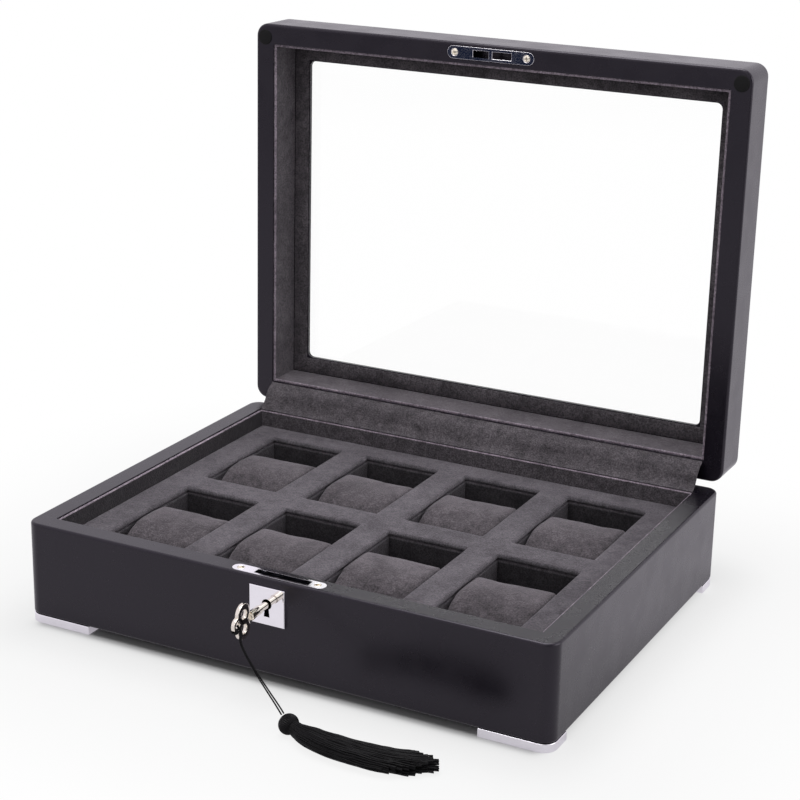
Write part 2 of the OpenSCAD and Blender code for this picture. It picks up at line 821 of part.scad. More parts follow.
module lid_side(side) {
    color(lacquer) mitred_side(side, lid_z + lid_h) difference() {
        lid_block();
        centred_box([inner_w, inner_d, lid_h + 2 * far], lid_z - far);
        centred_box([case_w + far, case_d + far, lid_h], lid_z + lid_panel_in);
    }
}

module lid_plate_places() {
    for (side = [-1, 1]) translate([side * plate_screw_pitch / 2, plate_y, lid_z])
        rotate([180, 0, 0]) children();
}

// Room over the striker for the two claws.
claw_room = [lock_span[1] - lock_span[0], slot_w, 9];

module lid_front_rail() {
    lid_place() difference() {
        lid_side(0);
        translate([0, plate_y, lid_z - far]) linear_extrude(plate_t + far)
            slot_plan(plate_l + 2 * let_in, plate_w + 2 * let_in);
        translate([lock_span[0], plate_y - claw_room[1] / 2, lid_z - far])
            cube(claw_room + [0, 0, far]);
        lid_plate_places() screw(small_screw, run_clear);
    }
}

module lid_rear_rail() {
    lid_place() difference() {
        lid_side(2);
        for (side = [-1, 1]) {
            translate([side * hinge_x - hinge_l / 2 - let_in, back_y - leaf_reach - let_in, lid_z - far])
                cube([hinge_l + 2 * let_in, leaf_reach + far, leaf_t + far]);
            hinge_at(side) mirror([0, 0, 1]) leaf_holes() screw(small_screw, run_clear);
        }
    }
}

module lid_left_rail() {
    lid_place() lid_side(3);
}

module lid_right_rail() {
    lid_place() lid_side(1);
}

module lid_top() {
    opening = [case_w - 2 * window_in, case_d - 2 * window_in];
    glass_bed = opening + [2 * glass_ledge, 2 * glass_ledge];
    color(lacquer) lid_place() difference() {
        lid_block();
        centred_box([case_w + far, case_d + far, lid_panel_in + far], lid_z - far);
        translate([0, 0, lid_z]) linear_extrude(lid_h + far)
            rounded_rect(opening[0], opening[1], window_r);
        translate([0, 0, lid_z + lid_h - glass_t]) linear_extrude(glass_t + far)
            rounded_rect(glass_bed[0], glass_bed[1], window_r);
    }
}

module glass_pane() {
    less = window_in - glass_ledge + glass_play;
    color([0.8, 0.9, 0.95, 0.3]) lid_place()
        translate([0, 0, lid_z + lid_h - glass_t]) linear_extrude(glass_t)
            rounded_rect(case_w - 2 * less, case_d - 2 * less, window_r - glass_play);
}

module window_trim() {
    color(suede) lid_place() translate([0, 0, lid_z + lid_recess]) linear_extrude(trim_t) difference() {
        square([inner_w, inner_d], center = true);
        rounded_rect(case_w - 2 * window_in, case_d - 2 * window_in, window_r);
    }
}

lid_lining_z = lid_z + lining_drop;
lid_lining_h = lid_recess - lining_drop;

module plate_window(place) {
    translate([place[0], 0]) square([place[1], striker_slot_w], center = true);
}

module striker_plate() {
    color(bright) lid_place() difference() {
        translate([0, plate_y, lid_z]) linear_extrude(plate_t) difference() {
            slot_plan(plate_l, plate_w);
            plate_window(window_a);
            plate_window(window_b);
        }
        lid_plate_places() screw(small_screw, run_clear);
    }
}

module striker_screws() {
    color(nickel) lid_place() lid_plate_places() screw(small_screw);
}

module bumpers() {
    color([0.04, 0.04, 0.04]) lid_place() for (side = [-1, 1])
        translate([side * (case_w / 2 - bumper_side), front_y + bumper_front, lid_z - bumper_t])
            cylinder(r = bumper_r, h = bumper_t);
}

// ---- one line for each node ----

front_wall();
right_wall();
rear_wall();
left_wall();
floor_panel();
foot(-1, -1);  // foot_front_left
foot(1, -1);  // foot_front_right
foot(-1, 1);  // foot_rear_left
foot(1, 1);  // foot_rear_right
foot_screws();
lining_end(true, tray_z, lining_h);  // lining_front
lining_end(false, tray_z, lining_h);  // lining_rear
lining_side(-1, tray_z, lining_h);  // lining_left
lining_side(1, tray_z, lining_h);  // lining_right
floor_pad();
tray_rails();
tray_dividers();
escutcheon_plate();
lock_case();
lock_faceplate();
lock_screws();
lock_cam();
claw(-1);  // claw_left
claw(1);  // claw_right
key();
key_cord();
tassel_head();
tassel_skirt();
hinge_base_leaf(-1);  // hinge_base_leaf_left
hinge_base_leaf(1);  // hinge_base_leaf_right
hinge_lid_leaf(-1);  // hinge_lid_leaf_left
hinge_lid_leaf(1);  // hinge_lid_leaf_right
hinge_pins();
hinge_base_screws();
hinge_lid_screws();
hinge_cover();
lid_front_rail();
lid_right_rail();
lid_rear_rail();
lid_left_rail();
lid_top();
glass_pane();
window_trim();
lid_place() lining_end(true, lid_lining_z, lid_lining_h);  // lid_lining_front
lid_place() lining_end(false, lid_lining_z, lid_lining_h);  // lid_lining_rear
lid_place() lining_side(-1, lid_lining_z, lid_lining_h);  // lid_lining_left
lid_place() lining_side(1, lid_lining_z, lid_lining_h);  // lid_lining_right
striker_plate();
striker_screws();
bumpers();
for (row = [0 : ROWS - 1], column = [0 : COLUMNS - 1])
    cushion(row, column);
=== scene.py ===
"""Looks of a lacquered watch box: suede lined, glazed lid, claw lock, key with a tassel.

Sizes are in millimetres and are turned into metres where a mesh is made. "Closed" coordinates
are those of the lid lying shut on the base; place_lid() turns a mesh to the open stop.
"""

import math

import bmesh
import bpy
import numpy as np
from mathutils import Matrix, Vector, noise


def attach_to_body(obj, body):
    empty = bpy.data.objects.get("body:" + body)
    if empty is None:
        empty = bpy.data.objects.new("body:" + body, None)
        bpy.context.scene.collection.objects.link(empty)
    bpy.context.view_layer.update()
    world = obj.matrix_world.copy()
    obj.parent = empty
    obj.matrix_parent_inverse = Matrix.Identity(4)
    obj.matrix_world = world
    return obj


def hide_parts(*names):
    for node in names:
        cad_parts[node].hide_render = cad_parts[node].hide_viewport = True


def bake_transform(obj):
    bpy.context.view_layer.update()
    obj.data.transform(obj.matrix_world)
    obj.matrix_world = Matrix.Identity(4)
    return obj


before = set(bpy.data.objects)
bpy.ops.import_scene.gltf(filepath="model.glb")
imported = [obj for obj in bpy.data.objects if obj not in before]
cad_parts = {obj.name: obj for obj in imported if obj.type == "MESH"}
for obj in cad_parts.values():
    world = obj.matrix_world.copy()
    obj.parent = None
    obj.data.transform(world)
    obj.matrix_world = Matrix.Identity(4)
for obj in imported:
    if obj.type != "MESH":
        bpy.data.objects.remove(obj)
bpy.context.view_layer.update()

MM = 0.001
CASE_W, CASE_D = 330.0, 251.0
WALL = 12.7
CORNER_R = 8.0
EDGE_R = 1.5
BASE_Z, RIM_Z = 5.0, 61.5
PAD_Z, TRAY_Z, TRAY_TOP = 10.0, 11.0, 51.0
LINING_T, LINING_DROP = 1.2, 0.8
LID_Z, LID_H, LID_EDGE_R = 62.1, 31.0, 3.0
LID_RECESS, TRIM_T, GLASS_T = 25.0, 0.6, 3.0
WINDOW_IN, WINDOW_R, GLASS_LEDGE = 25.2, 3.8, 5.0
HINGE_Y, HINGE_Z, OPEN_ANGLE = 127.5, 61.8, 90.6
FRONT_Y, BACK_Y = -CASE_D / 2, CASE_D / 2
PLATE_Y = FRONT_Y + 6.35
KEY_X, KEY_Z = -3.0, 47.2
POCKET_W, POCKET_D = 50.0, 82.0
POCKET_XS = (-130.0, -60.0, 10.0, 80.0)
POCKET_YS = (-92.5, 10.5)
TRAY_HALF_W, TRAY_HALF_D = 150.8, 111.3
CUSHION_GAP, CUSHION_D, CUSHION_H, CUSHION_LIFT = 9.5, 46.0, 39.4, 0.2
CLOSED_TO_OPEN = (
    Matrix.Translation((0, HINGE_Y * MM, HINGE_Z * MM))
    @ Matrix.Rotation(math.radians(-OPEN_ANGLE), 4, "X")
    @ Matrix.Translation((0, -HINGE_Y * MM, -HINGE_Z * MM))
)


# ---------------------------------------------------------------- camera

def make_camera():
    data = bpy.data.cameras.new("camera")
    data.sensor_width = 36.0
    data.lens = 89.5676
    data.clip_start, data.clip_end = 0.05, 20.0
    camera = bpy.data.objects.new("camera", data)
    camera.location = (0.50603, -0.9659, 0.49686)
    camera.rotation_euler = (1.2436, -0.0177, 0.4804)
    bpy.context.scene.collection.objects.link(camera)
    bpy.context.scene.camera = camera


make_camera()


# ---------------------------------------------------------------- materials

class Nodes:
    """A material's node tree, with short calls for what these finishes use."""

    def __init__(self, name):
        self.material = bpy.data.materials.new(name)
        self.material.use_nodes = True
        self.tree = self.material.node_tree
        self.tree.nodes.clear()
        self.output = self.add("ShaderNodeOutputMaterial")
        self.coords = self.add("ShaderNodeTexCoord")

    def add(self, kind, **inputs):
        node = self.tree.nodes.new(kind)
        for key, value in inputs.items():
            self.put(node, key.replace("_", " "), value)
        return node

    def put(self, node, key, value):
        socket = node.inputs[key]
        if isinstance(value, bpy.types.NodeSocket):
            self.tree.links.new(value, socket)
        else:
            socket.default_value = value

    def principled(self, **inputs):
        node = self.add("ShaderNodeBsdfPrincipled", **inputs)
        self.tree.links.new(node.outputs["BSDF"], self.output.inputs["Surface"])
        return node

    def place(self, scale=(1, 1, 1), turn=(0, 0, 0), source="Object"):
        node = self.add("ShaderNodeMapping")
        self.put(node, "Vector", self.coords.outputs[source])
        node.inputs["Scale"].default_value = scale
        node.inputs["Rotation"].default_value = turn
        return node.outputs["Vector"]

    def noise(self, scale, detail=3.0, roughness=0.5, vector=None, distortion=0.0):
        node = self.add("ShaderNodeTexNoise", Scale=scale, Detail=detail,
                        Roughness=roughness, Distortion=distortion)
        self.put(node, "Vector", vector or self.coords.outputs["Object"])
        return node.outputs["Fac"]

    def ramp(self, factor, stops):
        node = self.add("ShaderNodeValToRGB")
        elements = node.color_ramp.elements
        while len(elements) < len(stops):
            elements.new(0.5)
        for element, (place, colour) in zip(elements, stops):
            element.position = place
            element.color = (*colour, 1.0) if len(colour) == 3 else colour
        self.put(node, "Fac", factor)
        return node.outputs["Color"]

    def span(self, value, low, high, to_low, to_high):
        node = self.add("ShaderNodeMapRange")
        for key, number in (("From Min", low), ("From Max", high), ("To Min", to_low), ("To Max", to_high)):
            node.inputs[key].default_value = number
        self.put(node, "Value", value)
        return node.outputs["Result"]

    def math(self, operation, a, b):
        node = self.add("ShaderNodeMath")
        node.operation = operation
        for socket, value in zip(node.inputs, (a, b)):
            if isinstance(value, bpy.types.NodeSocket):
                self.tree.links.new(value, socket)
            else:
                socket.default_value = value
        return node.outputs["Value"]

    def mix(self, factor, a, b, kind="MIX"):
        node = self.add("ShaderNodeMix")
        node.data_type = "RGBA"
        node.blend_type = kind
        for key, value in (("Factor", factor), ("A", a), ("B", b)):
            socket = [s for s in node.inputs if s.name == key and s.enabled][0]
            if isinstance(value, bpy.types.NodeSocket):
                self.tree.links.new(value, socket)
            else:
                socket.default_value = value if key == "Factor" else (*value, 1.0)
        return [s for s in node.outputs if s.enabled][0]

    def bump(self, height, strength, distance):
        node = self.add("ShaderNodeBump", Strength=strength, Distance=distance)
        self.put(node, "Height", height)
        return node.outputs["Normal"]


def lacquer(name, colour=(0.0042, 0.0031, 0.0060), roughness=0.27):
    """Satin black lacquer: a soft sheen with a faint unevenness from the spray gun."""
    n = Nodes(name)
    clouds = n.noise(14.0, 2.0)
    peel = n.noise(1500.0, 2.0)
    shader = n.principled(
        Base_Color=n.ramp(clouds, [(0.3, colour), (0.7, tuple(c * 1.25 for c in colour))]),
        Roughness=n.span(n.noise(60.0, 4.0), 0.3, 0.7, roughness - 0.03, roughness + 0.04),
        Normal=n.bump(peel, 0.06, 0.0001),
    )
    shader.inputs["Specular IOR Level"].default_value = 0.42
    shader.inputs["Specular Tint"].default_value = (0.94, 0.88, 1.0, 1.0)
    return n.material


def suede(name, dark, light, nap=26.0, sheen=0.35, grain=0.4, painted_shade_below=None):
    """Brushed suede: cloudy nap that lies light or dark over short fibres. Below a given height its colour is darkened
    as painted shade, and a vertex attribute adds painted highlight and painted shade on chosen edges and walls.
    """
    n = Nodes(name)
    clouds = n.noise(nap, 3.0, 0.55, distortion=1.2)
    marks = n.noise(nap * 6.5, 3.0, 0.6, distortion=0.8)
    fibres = n.noise(1050.0, 2.0, 0.75)
    tone = n.math("ADD", n.math("MULTIPLY", clouds, 0.5), n.math("MULTIPLY", marks, 0.5))
    base = n.ramp(tone, [(0.38, dark), (0.5, tuple((a + b) / 2 for a, b in zip(dark, light))), (0.62, light)])
    speckle = n.ramp(fibres, [(0.36, (1 - grain,) * 3), (0.64, (1 + grain,) * 3)])
    # Painted light and shade from a vertex attribute: at 1 the colour is lit about threefold as a painted highlight on
    # the linings' exposed edges, at -1 it is darkened to about a fifth as painted shade on the base lining's left wall.
    rolled = n.add("ShaderNodeAttribute")
    rolled.attribute_name = "rolled"
    painted_light_factor = n.span(rolled.outputs["Fac"], -1.0, 1.0, 0.0, 1.0)
    colour = n.mix(1.0, base, speckle, "MULTIPLY")
    colour = n.mix(1.0, colour, n.ramp(painted_light_factor, [(0.0, (0.22,) * 3), (0.5, (1,) * 3), (1.0, (3.1, 2.9, 3.1))]),
                   "MULTIPLY")
    # Painted shade: below the given height the colour is darkened, standing in for the shade on the tray's pocket
    # walls.
    if painted_shade_below:
        height = n.add("ShaderNodeSeparateXYZ")
        n.put(height, "Vector", n.coords.outputs["Object"])
        low, high, depth = painted_shade_below
        shade = n.span(height.outputs["Z"], low * MM, high * MM, depth, 1.0)
        colour = n.mix(1.0, colour, n.ramp(shade, [(0.0, (0, 0, 0)), (1.0, (1, 1, 1))]), "MULTIPLY")
    pile = n.math("ADD", n.math("MULTIPLY", fibres, 0.8), n.math("MULTIPLY", marks, 0.5))
    shader = n.principled(Base_Color=colour, Roughness=0.92, Normal=n.bump(pile, 0.7, 0.0006))
    shader.inputs["Specular IOR Level"].default_value = 0.15
    shader.inputs["Sheen Weight"].default_value = sheen
    shader.inputs["Sheen Roughness"].default_value = 0.45
    shader.inputs["Sheen Tint"].default_value = (0.78, 0.72, 0.80, 1.0)
    return n.material


def metal(name, colour, roughness, scratch=0.04):
    """Polished plating with the faint haze of handling."""
    n = Nodes(name)
    haze = n.noise(1.0, 4.0, 0.6, vector=n.place((220.0, 900.0, 220.0)))
    n.principled(
        Base_Color=n.ramp(n.noise(160.0, 2.0), [(0.3, tuple(c * 0.96 for c in colour)), (0.7, colour)]),
        Metallic=1.0,
        Roughness=n.span(haze, 0.35, 0.7, roughness, roughness + scratch),
        Normal=n.bump(haze, 0.03, 0.0001),
    )
    return n.material


def clear_glass(name):
    n = Nodes(name)
    smear = n.noise(9.0, 3.0, 0.6, distortion=0.6)
    shader = n.principled(
        Base_Color=(1.0, 1.0, 1.0, 1.0),
        Roughness=n.span(smear, 0.45, 0.8, 0.0, 0.012),
        IOR=1.25,
        Transmission_Weight=1.0,
    )
    shader.inputs["Specular IOR Level"].default_value = 0.04
    return n.material


def rubber(name):
    n = Nodes(name)
    grain = n.noise(1800.0, 3.0)
    shader = n.principled(
        Base_Color=n.ramp(grain, [(0.3, (0.002, 0.002, 0.002)), (0.7, (0.005, 0.005, 0.005))]),
        Roughness=0.62,
        Normal=n.bump(grain, 0.2, 0.0002),
    )
    shader.inputs["Specular IOR Level"].default_value = 0.2
    return n.material


def thread(name, ply=2600.0):
    """Black rayon: fine ply lines and a satin gloss."""
    n = Nodes(name)
    twist = n.noise(ply, 2.0, 0.6)
    tone = n.noise(320.0, 2.0)
    shader = n.principled(
        Base_Color=n.ramp(tone, [(0.3, (0.0008, 0.0007, 0.0010)), (0.75, (0.0032, 0.0029, 0.0037))]),
        Roughness=n.span(twist, 0.3, 0.7, 0.38, 0.6),
        Normal=n.bump(twist, 0.35, 0.0002),
    )
    shader.inputs["Specular IOR Level"].default_value = 0.13
    shader.inputs["Sheen Weight"].default_value = 0.02
    shader.inputs["Sheen Roughness"].default_value = 0.4
    return n.material


LACQUER = lacquer("satin_black_lacquer")
# The tray suede gets painted shade on its pocket walls: down to about a third from 5 mm below the tray's top.
SUEDE_TRAY = suede("tray_suede", (0.062, 0.056, 0.064), (0.118, 0.107, 0.121),
                   painted_shade_below=(TRAY_TOP - 5.2, TRAY_TOP - 4.4, 0.36))
SUEDE_CUSHION = suede("cushion_suede", (0.056, 0.049, 0.055), (0.116, 0.102, 0.114), nap=34.0, sheen=0.4)
SUEDE_LINING = suede("lining_suede", (0.060, 0.053, 0.060), (0.122, 0.109, 0.121), nap=40.0, grain=0.44)
CHROME = metal("polished_chrome", (0.93, 0.915, 0.95), 0.05)
STEEL = metal("lock_steel", (0.30, 0.30, 0.32), 0.25, 0.1)
BLUED = metal("blued_steel", (0.06, 0.06, 0.075), 0.35, 0.1)
KEY_PLATE = metal("key_nickel", (0.84, 0.79, 0.70), 0.07)
BRASS = metal("screw_brass", (0.90, 0.84, 0.70), 0.12)
GLASS = clear_glass("clear_glass")
RUBBER = rubber("black_rubber")
CORD_BLACK = thread("satin_cord")
TASSEL_BLACK = thread("tassel_thread", 3800.0)


# ---------------------------------------------------------------- mesh helpers

def new_object(name, mesh, material):
    obj = bpy.data.objects.new(name, mesh)
    bpy.context.scene.collection.objects.link(obj)
    if material:
        mesh.materials.clear()
        mesh.materials.append(material)
    return obj


def solid(name, verts, faces, material, smooth=35.0):
    """A closed mesh from points in millimetres, faces outwards, edges over the angle kept sharp."""
    mesh = bpy.data.meshes.new(name)
    mesh.from_pydata([Vector(v) * MM for v in verts], [], faces)
    tidy(mesh, smooth)
    return new_object(name, mesh, material)


def tidy(mesh, smooth=35.0):
    work = bmesh.new()
    work.from_mesh(mesh)
    bmesh.ops.remove_doubles(work, verts=work.verts, dist=1e-7)
    bmesh.ops.recalc_face_normals(work, faces=work.faces)
    work.to_mesh(mesh)
    work.free()
    mesh.polygons.foreach_set("use_smooth", [True] * len(mesh.polygons))
    mesh.set_sharp_from_angle(angle=math.radians(smooth))


def baked(obj):
    """Replaces an object's mesh by its evaluated one and drops its modifiers."""
    graph = bpy.context.evaluated_depsgraph_get()
    mesh = bpy.data.meshes.new_from_object(obj.evaluated_get(graph))
    material = obj.data.materials[0] if obj.data.materials else None
    obj.modifiers.clear()
    old = obj.data
    obj.data = mesh
    mesh.name = obj.name
    mesh.materials.clear()
    if material:
        mesh.materials.append(material)
    if old.users == 0 and isinstance(old, bpy.types.Mesh):
        bpy.data.meshes.remove(old)
    return obj


def weighted(obj):
    modifier = obj.modifiers.new("flat_faces", "WEIGHTED_NORMAL")
    modifier.keep_sharp = True
    return obj


def bevelled(obj, width, segments=2, angle=35.0):
    modifier = obj.modifiers.new("eased_edges", "BEVEL")
    modifier.width = width * MM
    modifier.segments = segments
    modifier.limit_method = "ANGLE"
    modifier.angle_limit = math.radians(angle)
    modifier.use_clamp_overlap = True
    baked(obj)
    obj.data.polygons.foreach_set("use_smooth", [True] * len(obj.data.polygons))
    obj.data.set_sharp_from_angle(angle=math.radians(50))
    return obj


def loft(loops, closed_section=False):
    """Joins closed loops of equally many points into quads, capped unless the section is closed."""
    count, rows = len(loops[0]), len(loops)
    faces = []
    for row in range(rows if closed_section else rows - 1):
        after = (row + 1) % rows
        for k in range(count):
            m = (k + 1) % count
            faces.append((row * count + k, row * count + m, after * count + m, after * count + k))
    if not closed_section:
        faces.append(tuple(range(count - 1, -1, -1)))
        faces.append(tuple((rows - 1) * count + k for k in range(count)))
    return [p for loop in loops for p in loop], faces


def rounded_outline(half_x, half_y, radius, steps=8):
    points = []
    for quarter, (sx, sy) in enumerate(((1, 1), (-1, 1), (-1, -1), (1, -1))):
        for i in range(steps + 1):
            angle = math.radians(90.0 * (quarter + i / steps))
            points.append((sx * (half_x - radius) + radius * math.cos(angle),
                           sy * (half_y - radius) + radius * math.sin(angle)))
    return points


def ring(name, sections, material, smooth=35.0):
    """A frame round the case from its section: (inset from the outer face, height, corner radius)."""
    loops = []
    for inset, height, radius in sections:
        plan = rounded_outline(CASE_W / 2 - inset, CASE_D / 2 - inset, radius)
        loops.append([(x, y, height) for x, y in plan])
    return solid(name, *loft(loops, closed_section=True), material, smooth)


def arc_points(cx, cy, radius, start, end, steps):
    return [(cx + radius * math.cos(math.radians(start + (end - start) * i / steps)),
             cy + radius * math.sin(math.radians(start + (end - start) * i / steps)))
            for i in range(steps + 1)]


def prism(name, plan, axis, low, high, material=None):
    """A plan pushed along an axis. For axis Y the plan is X and Z, for X it is Y and Z."""
    order = {"X": lambda a, b, c: (c, a, b), "Y": lambda a, b, c: (a, c, b), "Z": lambda a, b, c: (a, b, c)}[axis]
    loops = [[order(a, b, c) for a, b in plan] for c in (low, high)]
    return solid(name, *loft(loops), material)


def rectangle(x0, x1, y0, y1):
    return [(x0, y0), (x1, y0), (x1, y1), (x0, y1)]


def slot_plan(cx, cy, length, width, steps=12):
    half = (length - width) / 2
    return (arc_points(cx + half, cy, width / 2, -90, 90, steps)
            + arc_points(cx - half, cy, width / 2, 90, 270, steps))


def keyhole_plan():
    round_part = arc_points(KEY_X, KEY_Z, 3.0, -66, 246, 24)
    return round_part + [(KEY_X - 1.8, KEY_Z - 7.4), (KEY_X + 1.8, KEY_Z - 7.4)]


def carve(obj, cutters):
    for index, cutter in enumerate(cutters):
        modifier = obj.modifiers.new(f"cut_{index}", "BOOLEAN")
        modifier.operation = "DIFFERENCE"
        modifier.solver = "EXACT"
        modifier.object = cutter
    bpy.context.view_layer.update()
    baked(obj)
    for cutter in cutters:
        mesh = cutter.data
        bpy.data.objects.remove(cutter)
        bpy.data.meshes.remove(mesh)
    obj.data.polygons.foreach_set("use_smooth", [True] * len(obj.data.polygons))
    obj.data.set_sharp_from_angle(angle=math.radians(35))
    return obj


def lathe(profile, steps=48):
    """Turns (radius, height) pairs about Z; ends on the axis are closed by a fan."""
    loops = [[(r * math.cos(2 * math.pi * k / steps), r * math.sin(2 * math.pi * k / steps), z)
              for k in range(steps)] for r, z in profile]
    return loft(loops)


def moved(verts, matrix):
    return [matrix @ Vector(v) for v in verts]


def joined(parts):
    """One vertex and face list from several."""
    verts, faces = [], []
    for part_verts, part_faces in parts:
        base = len(verts)
        verts += [tuple(v) for v in part_verts]
        faces += [tuple(base + i for i in face) for face in part_faces]
    return verts, faces


def place_lid(obj):
    obj.data.transform(CLOSED_TO_OPEN)
    return obj


def attach(obj, body, nodes=()):
    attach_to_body(obj, body)
    if nodes:
        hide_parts(*nodes)
    return obj


def smooth_path(points, per_span):
    """A Catmull-Rom line through the points."""
    p = [Vector(q) for q in points]
    p = [2 * p[0] - p[1], *p, 2 * p[-1] - p[-2]]
    line = []
    for i in range(1, len(p) - 2):
        for step in range(per_span):
            t = step / per_span
            line.append(0.5 * (2 * p[i] + (p[i + 1] - p[i - 1]) * t
                               + (2 * p[i - 1] - 5 * p[i] + 4 * p[i + 1] - p[i + 2]) * t * t
                               + (3 * p[i] - p[i - 1] - 3 * p[i + 1] + p[i + 2]) * t * t * t))
    return line + [p[-2]]


def line_length(points):
    return sum((Vector(b) - Vector(a)).length for a, b in zip(points, points[1:]))


# ---------------------------------------------------------------- key cord and tassel

HEAD_CENTRE = Vector((36.8, -171.3, 6.0))
HEAD_R = 6.0
NECK_END = Vector((44.8, -174.2, 5.0))
CORD_LEAVES = Vector((-0.624, 0.039, 0.780))
CORD_ROUTE = [
    (-3, -157.4, 47.2), (-1, -157.4, 45.2), (0, -158, 43.6), (0.2, -159.1, 41.8),
    (0.8, -160, 39.6), (2.8, -161, 36.6), (6, -162.2, 33.2), (10, -163.6, 29.6), (14, -165, 26.2),
    (18, -166.4, 23), (22, -167.8, 20), (25.6, -169.1, 17.4), (28.8, -170.2, 15),
    tuple(HEAD_CENTRE + (HEAD_R + 2.6) * CORD_LEAVES), tuple(HEAD_CENTRE + HEAD_R * CORD_LEAVES),
]
STRAND_R = 0.42


def cord_strand(name, side):
    """One of the two strands, which part a little on their way and meet at the ring and the head."""
    route = smooth_path(CORD_ROUTE, 2)
    total = len(route) - 1
    points = []
    for i, p in enumerate(route):
        way = (route[min(i + 1, total)] - route[max(i - 1, 0)]).normalized()
        across = way.cross(Vector((0.35, -0.94, 0))).normalized()
        apart = 0.32 + 0.5 * max(0.0, i / total - 0.42) / 0.58
        points.append(p + side * across * min(apart, 0.74))
    curve = bpy.data.curves.new(name, "CURVE")
    curve.dimensions = "3D"
    curve.bevel_depth = STRAND_R * MM
    curve.bevel_resolution = 3
    curve.use_fill_caps = True
    spline = curve.splines.new("POLY")
    spline.points.add(len(points) - 1)
    for target, p in zip(spline.points, points):
        target.co = (*(p * MM), 1.0)
    spline.use_smooth = True
    curve.materials.append(CORD_BLACK)
    obj = bpy.data.objects.new(name, curve)
    bpy.context.scene.collection.objects.link(obj)
    return obj, points


def geometry_group(name, inputs):
    group = bpy.data.node_groups.new(name, "GeometryNodeTree")
    group.interface.new_socket("Geometry", in_out="INPUT", socket_type="NodeSocketGeometry")
    for label, kind, value in inputs:
        socket = group.interface.new_socket(label, in_out="INPUT", socket_type=kind)
        if value is not None:
            socket.default_value = value
    group.interface.new_socket("Geometry", in_out="OUTPUT", socket_type="NodeSocketGeometry")
    return group


def run_group(obj, group, values, material):
    """Runs a node group on an object, sets its inputs by identifier and keeps the plain mesh."""
    modifier = obj.modifiers.new(group.name, "NODES")
    modifier.node_group = group
    for item in group.interface.items_tree:
        if item.in_out == "INPUT" and item.name in values:
            modifier[item.identifier] = values[item.name]
    baked(obj)
    obj.data.materials.clear()
    obj.data.materials.append(material)
    obj.data.polygons.foreach_set("use_smooth", [True] * len(obj.data.polygons))
    return obj


def thread_group():
    """Sweeps a round thread along every line of a wire mesh."""
    group = geometry_group("threads", [
        ("Thread radius", "NodeSocketFloat", 0.0004),
        ("Sides", "NodeSocketInt", 6),
        ("Finish", "NodeSocketMaterial", None),
    ])
    nodes, links = group.nodes, group.links
    source = nodes.new("NodeGroupInput")
    target = nodes.new("NodeGroupOutput")
    to_curve = nodes.new("GeometryNodeMeshToCurve")
    circle = nodes.new("GeometryNodeCurvePrimitiveCircle")
    sweep = nodes.new("GeometryNodeCurveToMesh")
    sweep.inputs["Fill Caps"].default_value = True
    realize = nodes.new("GeometryNodeRealizeInstances")
    finish = nodes.new("GeometryNodeSetMaterial")
    links.new(source.outputs["Geometry"], to_curve.inputs["Mesh"])
    links.new(source.outputs["Sides"], circle.inputs["Resolution"])
    links.new(source.outputs["Thread radius"], circle.inputs["Radius"])
    links.new(to_curve.outputs["Curve"], sweep.inputs["Curve"])
    links.new(circle.outputs["Curve"], sweep.inputs["Profile Curve"])
    links.new(sweep.outputs["Mesh"], realize.inputs["Geometry"])
    links.new(realize.outputs["Geometry"], finish.inputs["Geometry"])
    links.new(source.outputs["Finish"], finish.inputs["Material"])
    links.new(finish.outputs["Geometry"], target.inputs["Geometry"])
    return group


THREADS = thread_group()


def threads(name, lines, radius, material, sides=6):
    verts, edges = [], []
    for line in lines:
        base = len(verts)
        verts += [Vector(p) * MM for p in line]
        edges += [(base + i, base + i + 1) for i in range(len(line) - 1)]
    mesh = bpy.data.meshes.new(name)
    mesh.from_pydata(verts, edges, [])
    obj = new_object(name, mesh, material)
    return run_group(obj, THREADS, {"Thread radius": radius * MM, "Sides": sides, "Finish": material}, material)


SKIRT_LINE = [tuple(HEAD_CENTRE + (NECK_END - HEAD_CENTRE) * 0.5), tuple(NECK_END), (54, -177.1, 5.4),
              (66, -179.0, 5.2), (79, -179.2, 4.9), (92, -178.2, 4.6), (104, -176.0, 4.3), (115, -172.4, 4.1),
              (124.6, -167.0, 3.9)]
SKIRT_HALF_W = [3.6, 4.3, 6.9, 8.6, 9.6, 10.4, 11.3, 12.3, 13.2]
SKIRT_HALF_H = [3.6, 4.0, 4.8, 4.7, 4.3, 3.9, 3.5, 3.2, 3.0]


def tassel_skirt():
    """Threads from the head to a slanting ragged end, which wave together in loose bunches."""
    rng = np.random.RandomState(11)
    middle = smooth_path(SKIRT_LINE, 4)
    stations = np.linspace(0, len(SKIRT_LINE) - 1, len(middle))
    half_w = np.interp(stations, range(len(SKIRT_LINE)), SKIRT_HALF_W)
    half_h = np.interp(stations, range(len(SKIRT_LINE)), SKIRT_HALF_H)
    last_station = len(middle) - 1
    lines = []
    count = 380
    for k in range(count):
        radius = math.sqrt((k + 0.5) / count) ** 0.75
        angle = k * 2.39996 + rng.uniform(-0.2, 0.2)
        a, b = radius * math.cos(angle), radius * math.sin(angle)
        slant = 0.29 * a if a > 0 else -0.14 * a
        cut = 1.0 - slant - 0.05 * rng.rand()
        drift = rng.normal(0, 0.03, 2)
        own = rng.uniform(0, 50)
        line = []
        for i in range(int(cut * last_station) + 1):
            way = (middle[min(i + 1, last_station)] - middle[max(i - 1, 0)]).normalized()
            across = way.cross(Vector((0, 0, 1))).normalized()
            grown = i / last_station
            bunch = noise.noise_vector(Vector((a * 3.4, b * 2.6, i * 0.27)))
            stray = noise.noise_vector(Vector((own, i * 0.5, 2.0)))
            side = (a + drift[0] * grown * 2) * half_w[i] + grown ** 0.7 * (1.1 * bunch.x + 0.4 * stray.x)
            up = (b + drift[1] * grown) * half_h[i] + grown ** 0.7 * (0.9 * bunch.y + 0.3 * stray.y)
            p = middle[i] + across * side
            line.append((p.x, p.y, max(0.38, p.z + up)))
        lines.append(line)
    return threads("tassel_skirt_threads", lines, 0.36, TASSEL_BLACK, 5)


